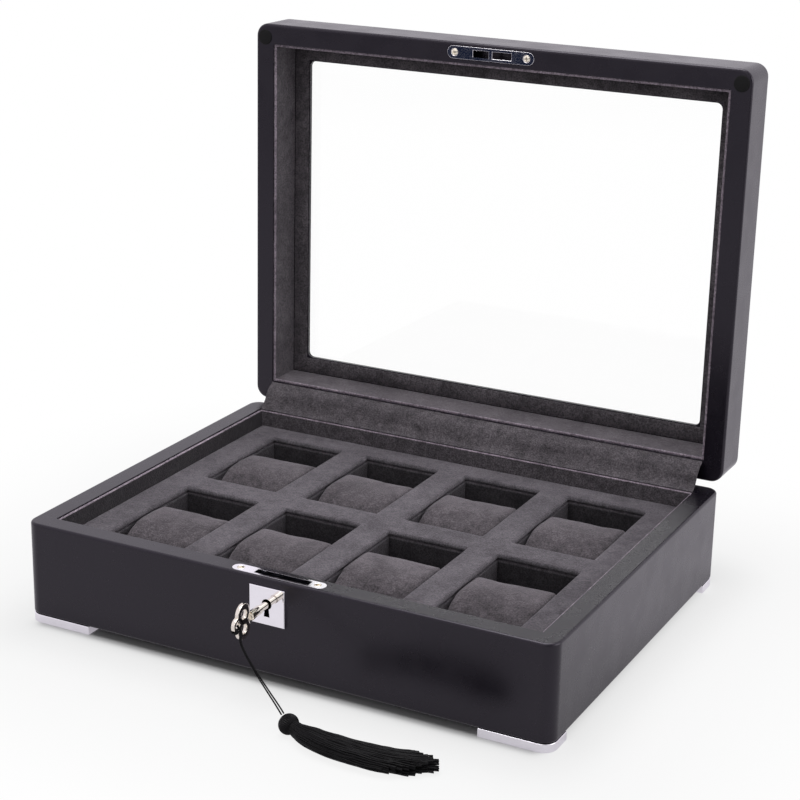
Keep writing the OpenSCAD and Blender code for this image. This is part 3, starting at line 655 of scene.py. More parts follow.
def tassel_head():
    """A ball of threads laid over a core and bound below with a few turns."""
    way = (NECK_END - HEAD_CENTRE).normalized()
    turn = way.to_track_quat("Z", "Y").to_matrix()
    profile = []
    for i in range(29):
        t = i / 28
        angle = math.radians(-90 + 162 * t)
        profile.append((HEAD_R * 0.94 * math.cos(angle), HEAD_R * 0.88 * math.sin(angle)))
    profile += [(3.3, 5.9), (3.3, 8.2)]
    steps = 132
    loops = []
    for radius, height in profile:
        ridge = 0.17 * min(1.0, radius / 2.2)
        loop = []
        for k in range(steps):
            phi = 2 * math.pi * k / steps
            r = max(0.02, radius + ridge * math.cos(phi * 33 + 0.16 * height) - 0.1)
            loop.append((r * math.cos(phi), r * math.sin(phi), height))
        loops.append(loop)
    verts, faces = loft(loops)
    verts = [HEAD_CENTRE + turn @ Vector(v) for v in verts]
    head = solid("tassel_head_ball", [tuple(v) for v in verts], faces, TASSEL_BLACK, 60)
    turns = 5
    coil = []
    for i in range(turns * 24 + 1):
        angle = 2 * math.pi * i / 24
        height = 5.2 + 2.6 * i / (turns * 24)
        radius = 3.55 + 0.03 * math.sin(angle * 3)
        coil.append(HEAD_CENTRE + turn @ Vector((radius * math.cos(angle), radius * math.sin(angle), height)))
    binding = threads("tassel_binding", [coil], 0.32, TASSEL_BLACK, 8)
    return head, binding


skirt = tassel_skirt()
head, binding = tassel_head()
cord_a, points_a = cord_strand("cord_strand_a", 1)
cord_b, points_b = cord_strand("cord_strand_b", -1)
attach(skirt, "tassel", ["tassel_skirt"])
attach(head, "tassel", ["tassel_head"])
attach(binding, "tassel")
attach(cord_a, "tassel", ["key_cord"])
attach(cord_b, "tassel")


# ---------------------------------------------------------------- case and lid shells

def corner_radius(inset):
    return max(CORNER_R - inset, 0.45)


def base_shell():
    sections = [(WALL, BASE_Z)]
    sections += [(EDGE_R + 0.5, BASE_Z)]
    sections += [(x, z) for x, z in arc_points(EDGE_R, BASE_Z + EDGE_R, EDGE_R, 270, 180, 6)]
    sections += [(0, BASE_Z + EDGE_R + 0.5), (0, RIM_Z - EDGE_R - 0.5)]
    sections += [(x, z) for x, z in arc_points(EDGE_R, RIM_Z - EDGE_R, EDGE_R, 180, 90, 6)]
    sections += [(EDGE_R + 0.5, RIM_Z), (WALL - 0.6, RIM_Z)]
    sections += [(x, z) for x, z in arc_points(WALL - 0.3, RIM_Z - 0.3, 0.3, 90, 0, 3)]
    shell = ring("case_shell", [(i, z, corner_radius(i)) for i, z in sections], LACQUER)
    slot_y = PLATE_Y
    cutters = [
        prism("cut_plate", slot_plan(0, slot_y, 58.2, 8.2), "Z", RIM_Z - 1.2, RIM_Z + 2),
        prism("cut_lock", rectangle(-18.1, 20.5, FRONT_Y + 2.5, FRONT_Y + 10.2), "Z", 36.9, RIM_Z - 0.8),
        prism("cut_keyhole", keyhole_plan(), "Y", FRONT_Y - 1, FRONT_Y + 4),
    ]
    for side in (-1, 1):
        cutters.append(prism(f"cut_leaf_{side}", rectangle(side * 100 - 20.1, side * 100 + 20.1,
                                                          BACK_Y - 9.6, BACK_Y + 2), "Z", RIM_Z - 1.2, RIM_Z + 2))
    return weighted(carve(shell, cutters))


def lid_shell():
    top, panel, bed = LID_Z + LID_H, LID_Z + LID_RECESS + TRIM_T, WINDOW_IN - GLASS_LEDGE
    sections = [(WALL, LID_Z + 0.3, 0.45), (WALL - 0.09, LID_Z + 0.09, 0.5), (WALL - 0.3, LID_Z, 0.5),
                (WALL - 0.6, LID_Z, 0.5), (EDGE_R + 0.5, LID_Z, CORNER_R - EDGE_R - 0.5)]
    sections += [(x, z, CORNER_R - x) for x, z in arc_points(EDGE_R, LID_Z + EDGE_R, EDGE_R, 270, 180, 6)]
    sections += [(0, LID_Z + EDGE_R + 0.5, CORNER_R), (0, top - LID_EDGE_R - 0.5, CORNER_R)]
    sections += [(x, z, CORNER_R - x) for x, z in arc_points(LID_EDGE_R, top - LID_EDGE_R, LID_EDGE_R, 180, 90, 9)]
    sections += [(LID_EDGE_R + 0.6, top, CORNER_R - LID_EDGE_R - 0.6), (bed - 0.3, top, WINDOW_R),
                 (bed, top - 0.3, WINDOW_R), (bed, top - GLASS_T, WINDOW_R),
                 (WINDOW_IN, top - GLASS_T, WINDOW_R), (WINDOW_IN, panel, WINDOW_R), (WALL, panel, 0.45)]
    shell = ring("lid_shell", sections, LACQUER)
    cutters = [
        prism("cut_striker", slot_plan(0, PLATE_Y, 58.2, 8.2), "Z", LID_Z - 2, LID_Z + 1.2),
        prism("cut_claw_room", rectangle(-17, 19.4, PLATE_Y - 2.5, PLATE_Y + 2.5), "Z", LID_Z + 0.8, LID_Z + 9),
    ]
    for side in (-1, 1):
        cutters.append(prism(f"cut_lid_leaf_{side}", rectangle(side * 100 - 20.1, side * 100 + 20.1,
                                                              BACK_Y - 9.6, BACK_Y + 2), "Z", LID_Z - 2, LID_Z + 1.2))
    return weighted(place_lid(carve(shell, cutters)))


attach(base_shell(), "base", ["front_wall", "right_wall", "rear_wall", "left_wall"])
attach(lid_shell(), "lid",
       ["lid_front_rail", "lid_right_rail", "lid_rear_rail", "lid_left_rail", "lid_top"])


# ---------------------------------------------------------------- linings, trim and hinge cover

def strip_ring(name, low, high, material, soft_top=True):
    """A suede covered strip all round the inside of a wall, its exposed edge rounded over. A vertex attribute marks
    that edge for a painted highlight and, on the base lining, the left wall for painted shade.
    """
    back, roll = WALL + 0.03, 0.5
    edge, foot = (high, low) if soft_top else (low, high)
    face = WALL + LINING_T + (0 if soft_top else 0.35)
    up = 1 if soft_top else -1
    sections = [(back, foot), (back, edge - up * 0.12), (back + 0.12, edge)]
    sections += [(face - roll + roll * math.sin(a), edge - up * roll * (1 - math.cos(a)))
                 for a in np.radians((0, 30, 60, 90))]
    sections += [(face, edge - up * (roll + 0.35)), (face, foot)]
    strip = ring(name, [(i, z, 0.35) for i, z in sections], material, 60)
    # Painted shade value for the base lining's left wall; vertices on the exposed edge get 1, the painted highlight.
    left_wall_painted_shade = -1.0 if soft_top else 0.0
    left_face = min(v.co.x for v in strip.data.vertices) / MM + face - back + 0.1
    values = [1.0 if abs(v.co.z / MM - edge) < roll + 0.1 else left_wall_painted_shade if v.co.x / MM < left_face else 0.0
              for v in strip.data.vertices]
    strip.data.attributes.new("rolled", "FLOAT", "POINT").data.foreach_set("value", values)
    return strip


def window_trim():
    """The suede face round the window, cut flush with the opening and mitred square at its corners."""
    front, back, inner = LID_Z + LID_RECESS, LID_Z + LID_RECESS + TRIM_T - 0.02, WINDOW_IN - 0.7
    outer = WALL + LINING_T + 0.75
    sections = [(outer, back, 0.35), (outer, front + 0.2, 0.35), (outer + 0.2, front, 0.35), (inner - 0.35, front, 0.6),
                (inner - 0.1, front + 0.1, 0.5), (inner, front + 0.3, 0.4), (inner, back, 0.4)]
    return ring("window_trim_suede", sections, SUEDE_LINING, 60)


COVER_LINE = [(0, 112.35, 61.15), (0, 114.8, 62.9), (0, 117.4, 66.1), (0, 119.4, 69.65), (0, 122.2, 72.95),
              (0, 127.1, 76.0)]


def hinge_cover():
    """A suede strip that joins the base to the lid behind the tray, built in its shape with the lid open."""
    middle = smooth_path(COVER_LINE, 5)
    half_t, half_l, across = 0.4, 151.9, 76
    loops = []
    for k in range(across + 1):
        x = -half_l + 2 * half_l * k / across
        loop = []
        front, back = [], []
        for i, p in enumerate(middle):
            way = (middle[min(i + 1, len(middle) - 1)] - middle[max(i - 1, 0)]).normalized()
            normal = Vector((0, -way.z, way.y))
            grown = math.sin(math.pi * i / (len(middle) - 1))
            ripple = 0.55 * grown * noise.noise(Vector((x * 0.022, i * 0.16, 3.1)))
            q = p + normal * ripple
            front.append((x, *(q + normal * half_t)[1:]))
            back.append((x, *(q - normal * half_t)[1:]))
        loop = front + back[::-1]
        loops.append(loop)
    return solid("hinge_cover_suede", *loft(loops), SUEDE_LINING, 60), line_length(middle)


attach(strip_ring("base_lining", TRAY_Z, RIM_Z - LINING_DROP, SUEDE_LINING), "base",
       ["lining_front", "lining_rear", "lining_left", "lining_right"])
attach(place_lid(strip_ring("lid_lining", LID_Z + LINING_DROP, LID_Z + LID_RECESS, SUEDE_LINING, soft_top=False)),
       "lid", ["lid_lining_front", "lid_lining_rear", "lid_lining_left", "lid_lining_right"])
attach(place_lid(window_trim()), "lid", ["window_trim"])
cover, cover_length = hinge_cover()
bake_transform(cover)
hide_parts("hinge_cover")


# ---------------------------------------------------------------- tray

def grid_lines(low, high, edges, roll, step):
    """Lines from low to high that crowd at each edge, where the suede rolls over."""
    offsets = [0.0, 0.12 * roll, 0.34 * roll, 0.62 * roll, roll]
    lines = set()
    for edge, side in edges:
        lines.update(round(edge + side * o, 4) for o in offsets)
    marks = sorted(lines | {low, high})
    full = []
    for a, b in zip(marks, marks[1:]):
        parts = max(1, int(round((b - a) / step)))
        full += [a + (b - a) * i / parts for i in range(parts)]
    return full + [marks[-1]]


def tray_mesh():
    roll = 1.9
    x_edges = [(-TRAY_HALF_W, 1), (TRAY_HALF_W, -1)]
    y_edges = [(-TRAY_HALF_D, 1), (TRAY_HALF_D, -1)]
    for x in POCKET_XS:
        x_edges += [(x, -1), (x + POCKET_W, 1)]
    for y in POCKET_YS:
        y_edges += [(y, -1), (y + POCKET_D, 1)]
    xs = grid_lines(-TRAY_HALF_W, TRAY_HALF_W, x_edges, roll, 3.4)
    ys = grid_lines(-TRAY_HALF_D, TRAY_HALF_D, y_edges, roll, 3.4)
    pockets = [(x, x + POCKET_W, y, y + POCKET_D) for y in POCKET_YS for x in POCKET_XS]

    def distance(x, y):
        near = min(TRAY_HALF_W - abs(x), TRAY_HALF_D - abs(y))
        for x0, x1, y0, y1 in pockets:
            near = min(near, math.hypot(max(x0 - x, 0, x - x1), max(y0 - y, 0, y - y1)))
        return near

    def height(x, y):
        d = distance(x, y)
        fall = roll - math.sqrt(max(0.0, roll * roll - (roll - min(d, roll)) ** 2))
        give = min(1.0, d / 4.0)
        soft = 0.28 * noise.noise(Vector((x * 0.05, y * 0.05, 0.7))) + 0.12 * noise.noise(Vector((x * 0.19, y * 0.19, 5)))
        return TRAY_TOP - 0.15 - fall + give * (soft - 0.1)

    verts, faces, top, bottom = [], [], {}, {}
    for i, x in enumerate(xs):
        for j, y in enumerate(ys):
            inside = any(x0 < x < x1 and y0 < y < y1 for x0, x1, y0, y1 in pockets)
            if inside:
                continue
            top[i, j] = len(verts)
            verts.append((x, y, height(x, y)))
            bottom[i, j] = len(verts)
            verts.append((x, y, TRAY_Z))
    for i in range(len(xs) - 1):
        for j in range(len(ys) - 1):
            mid_x, mid_y = (xs[i] + xs[i + 1]) / 2, (ys[j] + ys[j + 1]) / 2
            if any(x0 < mid_x < x1 and y0 < mid_y < y1 for x0, x1, y0, y1 in pockets):
                continue
            for level in (top, bottom):
                faces.append((level[i, j], level[i + 1, j], level[i + 1, j + 1], level[i, j + 1]))
    column = {round(x, 4): i for i, x in enumerate(xs)}
    row = {round(y, 4): j for j, y in enumerate(ys)}
    borders = [(*p, 1) for p in pockets] + [(-TRAY_HALF_W, TRAY_HALF_W, -TRAY_HALF_D, TRAY_HALF_D, -1)]
    levels = [(TRAY_TOP - 2.3, 0.02), (TRAY_TOP - 2.6, 1.3), (TRAY_TOP - 3.7, 1.4), (TRAY_TOP - 4.0, 0.15),
              (TRAY_TOP - 4.6, 0.1), (TRAY_TOP - 14, 0.4), (TRAY_TOP - 24, 0.5), (TRAY_TOP - 33, 0.35)]
    for x0, x1, y0, y1, sign in borders:
        i0, i1, j0, j1 = column[round(x0, 4)], column[round(x1, 4)], row[round(y0, 4)], row[round(y1, 4)]
        track = ([(i, j0) for i in range(i0, i1)] + [(i1, j) for j in range(j0, j1)]
                 + [(i, j1) for i in range(i1, i0, -1)] + [(i0, j) for j in range(j1, j0, -1)])
        loops = [[top[k] for k in track]]
        for z, out in levels:
            loop = []
            for i, j in track:
                x, y = xs[i], ys[j]
                loop.append(len(verts))
                x += sign * out * ((i == i1) - (i == i0))
                y += sign * out * ((j == j1) - (j == j0))
                verts.append((x, y, z + 0.2 * noise.noise(Vector((x * 0.1, y * 0.1, z)))))
            loops.append(loop)
        loops.append([bottom[k] for k in track])
        for above, below in zip(loops, loops[1:]):
            for k in range(len(track)):
                m = (k + 1) % len(track)
                faces.append((above[k], above[m], below[m], below[k]))
    return solid("suede_tray", verts, faces, SUEDE_TRAY, 52)


attach(tray_mesh(), "base", ["tray_rails", "tray_dividers"])


def floor_pad():
    """The suede pad under the tray, a little uneven where it is glued."""
    across, along = 60, 45
    half_x, half_y = CASE_W / 2 - WALL - 0.1, CASE_D / 2 - WALL - 0.1
    verts, faces = [], []
    for level in (0, 1):
        for i in range(across + 1):
            for j in range(along + 1):
                x, y = -half_x + 2 * half_x * i / across, -half_y + 2 * half_y * j / along
                z = PAD_Z if level == 0 else TRAY_Z - 0.06 - 0.05 * noise.noise(Vector((x * 0.06, y * 0.06, 9)))
                verts.append((x, y, z))
    stride, layer = along + 1, (across + 1) * (along + 1)
    for i in range(across):
        for j in range(along):
            k = i * stride + j
            faces += [(k, k + stride, k + stride + 1, k + 1), tuple(layer + q for q in (k, k + 1, k + stride + 1, k + stride))]
    rim = ([i * stride for i in range(across)] + [across * stride + j for j in range(along)]
           + [i * stride + along for i in range(across, 0, -1)] + [j for j in range(along, 0, -1)])
    for a, b in zip(rim, rim[1:] + rim[:1]):
        faces.append((a, b, b + layer, a + layer))
    return solid("floor_pad_suede", verts, faces, SUEDE_LINING)


attach(floor_pad(), "base", ["floor_pad"])


# ---------------------------------------------------------------- cushions

def cushion_profile(count=56):
    """The cushion's side view, y from its front and z from its foot, as evenly spaced points."""
    crown, front_r, back_r = 24.0, 36.0, 120.0
    outline = [(1.6, 0.0), (CUSHION_D - 1.6, 0.0), (CUSHION_D - 0.4, 0.6), (CUSHION_D, 1.8)]
    back_z = CUSHION_H - back_r + math.sqrt(back_r ** 2 - (CUSHION_D - crown) ** 2)
    outline += [(CUSHION_D, back_z - 1.8), (CUSHION_D - 0.5, back_z - 0.6), (CUSHION_D - 1.7, back_z + 0.05)]
    for i in range(1, 9):
        y = CUSHION_D - 1.7 - (CUSHION_D - 1.7 - crown) * i / 8
        outline.append((y, CUSHION_H - back_r + math.sqrt(back_r ** 2 - (y - crown) ** 2)))
    for i in range(1, 15):
        y = crown - (crown - 0.5) * i / 14
        outline.append((y, CUSHION_H - front_r + math.sqrt(front_r ** 2 - (y - crown) ** 2)))
    outline += [(0.0, CUSHION_H - 14.0), (0.0, 1.8), (0.4, 0.6)]
    closed = outline + outline[:1]
    gaps = [0.0]
    for a, b in zip(closed, closed[1:]):
        gaps.append(gaps[-1] + math.dist(a, b))
    places = np.linspace(0, gaps[-1], count, endpoint=False)
    return list(zip(np.interp(places, gaps, [p[0] for p in closed]), np.interp(places, gaps, [p[1] for p in closed])))


def cushion_form(name, x_mid, y_front, seed):
    """A stuffed block with soft side edges; the sides pull in between the corners."""
    profile = cushion_profile()
    mid_y, mid_z = CUSHION_D / 2, CUSHION_H * 0.48
    half, soft = 24.35, 1.4
    slices = [-1, -0.985, -0.96, -0.925, -0.86, -0.7, -0.5, -0.25, 0, 0.25, 0.5, 0.7, 0.86, 0.925, 0.96, 0.985, 1]
    loops = []
    for s in slices:
        x = s * half
        over = max(0.0, abs(x) - (half - soft))
        inset = soft - math.sqrt(max(0.0, soft * soft - over * over))
        shrink = 1 - inset / 22.0
        loop = []
        for y, z in profile:
            dent = 0.5 * noise.noise(Vector((x * 0.07 + seed * 5.3, y * 0.07, z * 0.07)))
            loop.append((x_mid + x, y_front + 0.5 + mid_y + (y - mid_y) * shrink * 0.975,
                         TRAY_Z + CUSHION_LIFT + 0.2 + max(0.0, mid_z + (z - mid_z) * shrink * 0.985 + dent * (z > 4))))
        loops.append(loop)
    return solid(name, *loft(loops), SUEDE_CUSHION, 75)


def stuff(obj, voxel=2.2, cap=1.2):
    """Inflates the suede over its filling with a short cloth simulation and keeps the result."""
    remesh = obj.modifiers.new("skin", "REMESH")
    remesh.mode = "VOXEL"
    remesh.voxel_size = voxel * MM
    baked(obj)
    start = np.array([v.co for v in obj.data.vertices])
    cloth = obj.modifiers.new("stuffing", "CLOTH")
    settings = cloth.settings
    settings.quality = 6
    settings.mass = 0.25
    settings.tension_stiffness = 22
    settings.compression_stiffness = 18
    settings.shear_stiffness = 8
    settings.bending_stiffness = 1.2
    settings.use_pressure = True
    settings.uniform_pressure_force = 4.0
    settings.effector_weights.gravity = 0.0
    cloth.collision_settings.use_collision = False
    cloth.point_cache.frame_start, cloth.point_cache.frame_end = 1, 20
    scene = bpy.context.scene
    for step in range(1, 21):
        scene.frame_set(step)
    graph = bpy.context.evaluated_depsgraph_get()
    end = np.array([v.co for v in obj.evaluated_get(graph).data.vertices])
    obj.modifiers.clear()
    move = end - start
    size = np.linalg.norm(move, axis=1)
    scale = np.minimum(1.0, cap * MM / np.maximum(size, 1e-9))
    start = start + move * scale[:, None]
    scene.frame_set(1)
    return start


def fitted(points, x_mid, y_front):
    """Holds a cushion inside its pocket and flat on the pad."""
    low = np.array([x_mid - 24.6, y_front - 0.35, TRAY_Z + CUSHION_LIFT]) * MM
    high = np.array([x_mid + 24.6, y_front + CUSHION_D + 0.5, TRAY_Z + CUSHION_LIFT + CUSHION_H + 0.4]) * MM
    return np.clip(points, low, high)


def make_cushion(row, column):
    node = f"cushion_{'front' if row == 0 else 'rear'}_{column + 1}"
    x_mid = POCKET_XS[column] + POCKET_W / 2
    y_front = POCKET_YS[row] + CUSHION_GAP
    obj = cushion_form(f"{node}_suede", x_mid, y_front, row * 4 + column + 1)
    points = fitted(stuff(obj), x_mid, y_front)
    obj.data.vertices.foreach_set("co", points.ravel())
    subdivision = obj.modifiers.new("smooth_skin", "SUBSURF")
    subdivision.levels = subdivision.render_levels = 1
    baked(obj)
    obj.data.polygons.foreach_set("use_smooth", [True] * len(obj.data.polygons))
    attach(obj, node, [node])


for row_index in range(2):
    for column_index in range(4):
        make_cushion(row_index, column_index)


# ---------------------------------------------------------------- feet, plates and screws

def foot(name, sx, sy):
    w, d, r = 42.0, 20.0, CORNER_R
    outer_x, outer_y = CASE_W / 2, CASE_D / 2
    plan = [(outer_x - w, outer_y - d), (outer_x, outer_y - d), *arc_points(outer_x - r, outer_y - r, r, 0, 90, 10),
            (outer_x - w, outer_y)]
    plan = [(sx * x, sy * y) for x, y in plan]
    obj = prism(name, plan, "Z", 0.0, BASE_Z, CHROME)
    return weighted(bevelled(obj, 0.35, 3))


def corner_feet():
    for front, sy in (("front", -1), ("rear", 1)):
        for side, sx in (("left", -1), ("right", 1)):
            node = f"foot_{front}_{side}"
            attach(foot(f"{node}_chrome", sx, sy), "base", [node])


def escutcheon():
    """A square plate with a flat bevelled border, pierced by the keyhole."""
    half, mid_z, thick, border = 11.0, KEY_Z - 1.2, 1.8, 0.3
    loops = []
    for out, inset in ((0.0, 0.0), (thick - border, 0.0), (thick, border)):
        x, z = half - inset, half - inset
        loops.append([(KEY_X - x, FRONT_Y - out, mid_z - z), (KEY_X + x, FRONT_Y - out, mid_z - z),
                      (KEY_X + x, FRONT_Y - out, mid_z + z), (KEY_X - x, FRONT_Y - out, mid_z + z)])
    plate = solid("escutcheon_chrome", *loft(loops), CHROME)
    carve(plate, [prism("cut_hole", keyhole_plan(), "Y", FRONT_Y - 4, FRONT_Y + 2)])
    return weighted(bevelled(plate, 0.12, 2, 25.0))


def lock_plate(name, z_low, z_high, windows):
    plate = prism(name, slot_plan(0, PLATE_Y, 58.0, 8.0), "Z", z_low, z_high, CHROME)
    cutters = [prism("cut_window", rectangle(x0, x1, y0, y1), "Z", z_low - 1, z_high + 1) for x0, x1, y0, y1 in windows]
    cutters += [prism("cut_screw", arc_points(side * 24.0, PLATE_Y, 2.16, 0, 345, 23), "Z", z_low - 1, z_high + 1)
                for side in (-1, 1)]
    carve(plate, cutters)
    return weighted(bevelled(plate, 0.3, 3))


corner_feet()
attach(escutcheon(), "base", ["escutcheon_plate"])
attach(lock_plate("faceplate_chrome", RIM_Z - 1.2, RIM_Z, [(-14.5, 19.5, PLATE_Y - 2.5, PLATE_Y + 2.5)]),
       "base", ["lock_faceplate"])
attach(place_lid(lock_plate("striker_chrome", LID_Z, LID_Z + 1.2,
                            [(-11.6, -1.1, PLATE_Y - 2.1, PLATE_Y + 2.1), (1.3, 14.0, PLATE_Y - 2.1, PLATE_Y + 2.1)])),
       "lid", ["striker_plate"])


def screw_head():
    """A countersunk screw with a slightly domed head and a cross recess, head radius 1, up along Z."""
    profile = [(0.012, 0.13), (0.35, 0.125), (0.7, 0.09), (0.93, 0.02), (1.0, -0.05), (0.94, -0.14), (0.52, -0.52),
               (0.48, -3.4), (0.02, -3.8)]
    head_obj = solid("screw_source", *lathe(profile, 32), BRASS, 40)
    arms = []
    for turn in (0, 90):
        matrix = Matrix.Rotation(math.radians(turn), 4, "Z")
        arm = prism(f"cut_cross_{turn}", [(-0.62, -0.11), (0.62, -0.11), (0.62, 0.11), (-0.62, 0.11)], "Z", -0.22, 1.0)
        arm.data.transform(matrix)
        arms.append(arm)
    return carve(head_obj, arms)


def screw_group():
    """Sets a screw at every point, turned to the point's direction and scaled to its size."""
    group = geometry_group("screws", [
        ("Screw", "NodeSocketObject", None),
        ("Finish", "NodeSocketMaterial", None),
    ])
    nodes, links = group.nodes, group.links
    source = nodes.new("NodeGroupInput")
    target = nodes.new("NodeGroupOutput")
    info = nodes.new("GeometryNodeObjectInfo")
    facing = nodes.new("GeometryNodeInputNamedAttribute")
    facing.data_type = "FLOAT_VECTOR"
    facing.inputs["Name"].default_value = "facing"
    size = nodes.new("GeometryNodeInputNamedAttribute")
    size.data_type = "FLOAT"
    size.inputs["Name"].default_value = "size"
    spin = nodes.new("GeometryNodeInputNamedAttribute")
    spin.data_type = "FLOAT"
    spin.inputs["Name"].default_value = "spin"
    align = nodes.new("FunctionNodeAlignRotationToVector")
    align.axis = "Z"
    turn = nodes.new("FunctionNodeRotateRotation")
    turn.rotation_space = "LOCAL"
    about = nodes.new("FunctionNodeAxisAngleToRotation")
    about.inputs["Axis"].default_value = (0, 0, 1)
    place = nodes.new("GeometryNodeInstanceOnPoints")
    realize = nodes.new("GeometryNodeRealizeInstances")
    finish = nodes.new("GeometryNodeSetMaterial")
    links.new(source.outputs["Screw"], info.inputs["Object"])
    links.new(facing.outputs["Attribute"], align.inputs["Vector"])
    links.new(spin.outputs["Attribute"], about.inputs["Angle"])
    links.new(align.outputs["Rotation"], turn.inputs["Rotation"])
    links.new(about.outputs["Rotation"], turn.inputs["Rotate By"])
    links.new(source.outputs["Geometry"], place.inputs["Points"])
    links.new(info.outputs["Geometry"], place.inputs["Instance"])
    links.new(turn.outputs["Rotation"], place.inputs["Rotation"])
    links.new(size.outputs["Attribute"], place.inputs["Scale"])
    links.new(place.outputs["Instances"], realize.inputs["Geometry"])
    links.new(realize.outputs["Geometry"], finish.inputs["Geometry"])
    links.new(source.outputs["Finish"], finish.inputs["Material"])
    links.new(finish.outputs["Geometry"], target.inputs["Geometry"])
    return group


SCREWS = screw_group()
SCREW = screw_head()


def screws(name, places, radius, material, closed_lid=False):
    """Screws at (x, y, z, facing) places, each turned a different way."""
    mesh = bpy.data.meshes.new(name)
    mesh.from_pydata([Vector(p[:3]) * MM for p in places], [], [])
    for label, kind, values in (("facing", "FLOAT_VECTOR", [c for p in places for c in p[3]]),
                                ("size", "FLOAT", [float(radius)] * len(places)),
                                ("spin", "FLOAT", [0.4 + 1.37 * i for i in range(len(places))])):
        layer = mesh.attributes.new(label, kind, "POINT")
        layer.data.foreach_set("vector" if kind == "FLOAT_VECTOR" else "value", values)
    obj = new_object(name, mesh, material)
    run_group(obj, SCREWS, {"Screw": SCREW, "Finish": material}, material)
    obj.data.set_sharp_from_angle(angle=math.radians(40))
    if closed_lid:
        place_lid(obj)
    return obj


UP, DOWN = (0, 0, 1), (0, 0, -1)
leaf_y = HINGE_Y - 2.0 - 9.5 / 2
leaf_xs = [side * 100 + offset for side in (-1, 1) for offset in (-13, 13)]
attach(screws("lock_screws_brass", [(x, PLATE_Y, RIM_Z - 0.12, UP) for x in (-24, 24)], 2.1, BRASS), "base",
       ["lock_screws"])
attach(screws("striker_screws_brass", [(x, PLATE_Y, LID_Z + 0.12, DOWN) for x in (-24, 24)], 2.1, BRASS, True), "lid",
       ["striker_screws"])
attach(screws("hinge_base_screws_chrome", [(x, leaf_y, RIM_Z - 0.3, UP) for x in leaf_xs], 2.1, CHROME), "base",
       ["hinge_base_screws"])
attach(screws("hinge_lid_screws_chrome", [(x, leaf_y, LID_Z + 0.3, DOWN) for x in leaf_xs], 2.1, CHROME, True), "lid",
       ["hinge_lid_screws"])
foot_xs = [sx * (CASE_W / 2 - 13 - k * 18) for sx in (-1, 1) for k in (0, 1)]
attach(screws("foot_screws_chrome", [(x, sy * (CASE_D / 2 - WALL / 2), 0.45, DOWN) for sy in (-1, 1) for x in foot_xs],
              3.0, CHROME), "base", ["foot_screws"])
bpy.data.objects.remove(SCREW)


def bumpers():
    parts = []
    for side in (-1, 1):
        matrix = Matrix.Translation((side * (CASE_W / 2 - 6.5), FRONT_Y + 8.5, LID_Z - 0.5))
        profile = [(0.02, 0.0), (4.3, 0.0), (4.65, 0.08), (4.8, 0.22), (4.8, 0.5), (0.02, 0.5)]
        verts, faces = lathe(profile, 40)
        parts.append((moved(verts, matrix), faces))
    return place_lid(solid("bumpers_rubber", *joined(parts), RUBBER))


attach(bumpers(), "lid", ["bumpers"])


# ---------------------------------------------------------------- key

def key_bow_ring(out, up, outer_r):
    """One ring of the bow: flat faces, a rounded rim and a dished edge round the hole."""
    half_t, hole_r, dish, ease = 1.1, 2.7, 0.2, 0.3
    quarter = np.radians((0, 30, 60, 90))
    inner = [(hole_r + dish * (1 - math.cos(a)), half_t - dish * (1 - math.sin(a))) for a in quarter]
    rim = [(outer_r - ease * (1 - math.sin(a)), half_t - ease * (1 - math.cos(a))) for a in quarter]
    half = inner + rim
    profile = half + [(r, -h) for r, h in half[::-1]]
    steps = 56
    loops = [[(r * math.cos(2 * math.pi * k / steps), r * math.sin(2 * math.pi * k / steps), h) for k in range(steps)]
             for r, h in profile]
    verts, faces = loft(loops, closed_section=True)
    matrix = Matrix.Translation((KEY_X, FRONT_Y - out, KEY_Z + up)) @ Matrix.Rotation(math.radians(90), 4, "Y")
    return moved(verts, matrix), faces


def key_flat(plan, half_t):
    """A flat part of the key from its plan: distance out from the case and height over the axis."""
    return loft([[(x, FRONT_Y - out, KEY_Z + up) for out, up in plan] for x in (KEY_X - half_t, KEY_X + half_t)])


def key_mesh():
    shank = [(0.02, -8.8), (1.6, -8.8), (2.0, -8.4), (2.0, 9.5), (2.5, 9.55), (2.5, 16.5), (2.2, 16.55), (2.2, 16.95),
             (2.7, 17.0), (2.7, 18.95), (2.2, 19.0), (1.9, 19.2), (1.9, 20.4), (0.02, 20.5)]
    verts, faces = lathe(shank, 56)
    along = Matrix.Translation((KEY_X, FRONT_Y, KEY_Z)) @ Matrix.Rotation(math.radians(90), 4, "X")
    parts = [(moved(verts, along), faces)]
    parts += [key_bow_ring(26.2, -4.2, 6.0), key_bow_ring(26.2, 4.2, 6.0), key_bow_ring(31.9, 0.0, 4.2)]
    upper_edge = [(19.6, 2.0), (21.4, 2.2), (23.0, 2.4), (25.0, 1.35), (26.9, 1.25), (28.8, 1.9), (29.2, 0.9)]
    parts.append(key_flat(upper_edge + [(out, -up) for out, up in upper_edge[::-1]], 1.04))
    bit = [(-6.3, 0), (-6.3, -7.0), (-7.1, -7.0), (-7.1, -5.2), (-7.8, -5.2), (-7.8, -7.0), (-8.8, -7.0), (-8.8, 0)]
    parts.append(key_flat(bit, 0.9))
    return solid("key_nickel", *joined(parts), KEY_PLATE, 40)


def cord_hitch():
    """The cord's loop through the outer ring and round its lower edge."""
    ring_y, radial = FRONT_Y - 31.9, Vector((0, -0.62, -0.785))
    along = Vector((0, 0.785, -0.62))
    lines = []
    for offset in (-0.85, 0.0, 0.85):
        centre = Vector((KEY_X, ring_y, KEY_Z)) + radial * 3.45 + along * offset
        lines.append([centre + radial * 1.3 * math.cos(a) + Vector((1.62 * math.sin(a), 0, 0))
                      for a in np.linspace(0, 2 * math.pi, 25)])
    return threads("cord_hitch", lines, STRAND_R, CORD_BLACK, 8)


attach(key_mesh(), "key", ["key"])
attach(cord_hitch(), "key")


# ---------------------------------------------------------------- pieces kept from the model

def finish_node(node, material):
    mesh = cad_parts[node].data
    mesh.materials.clear()
    mesh.materials.append(material)


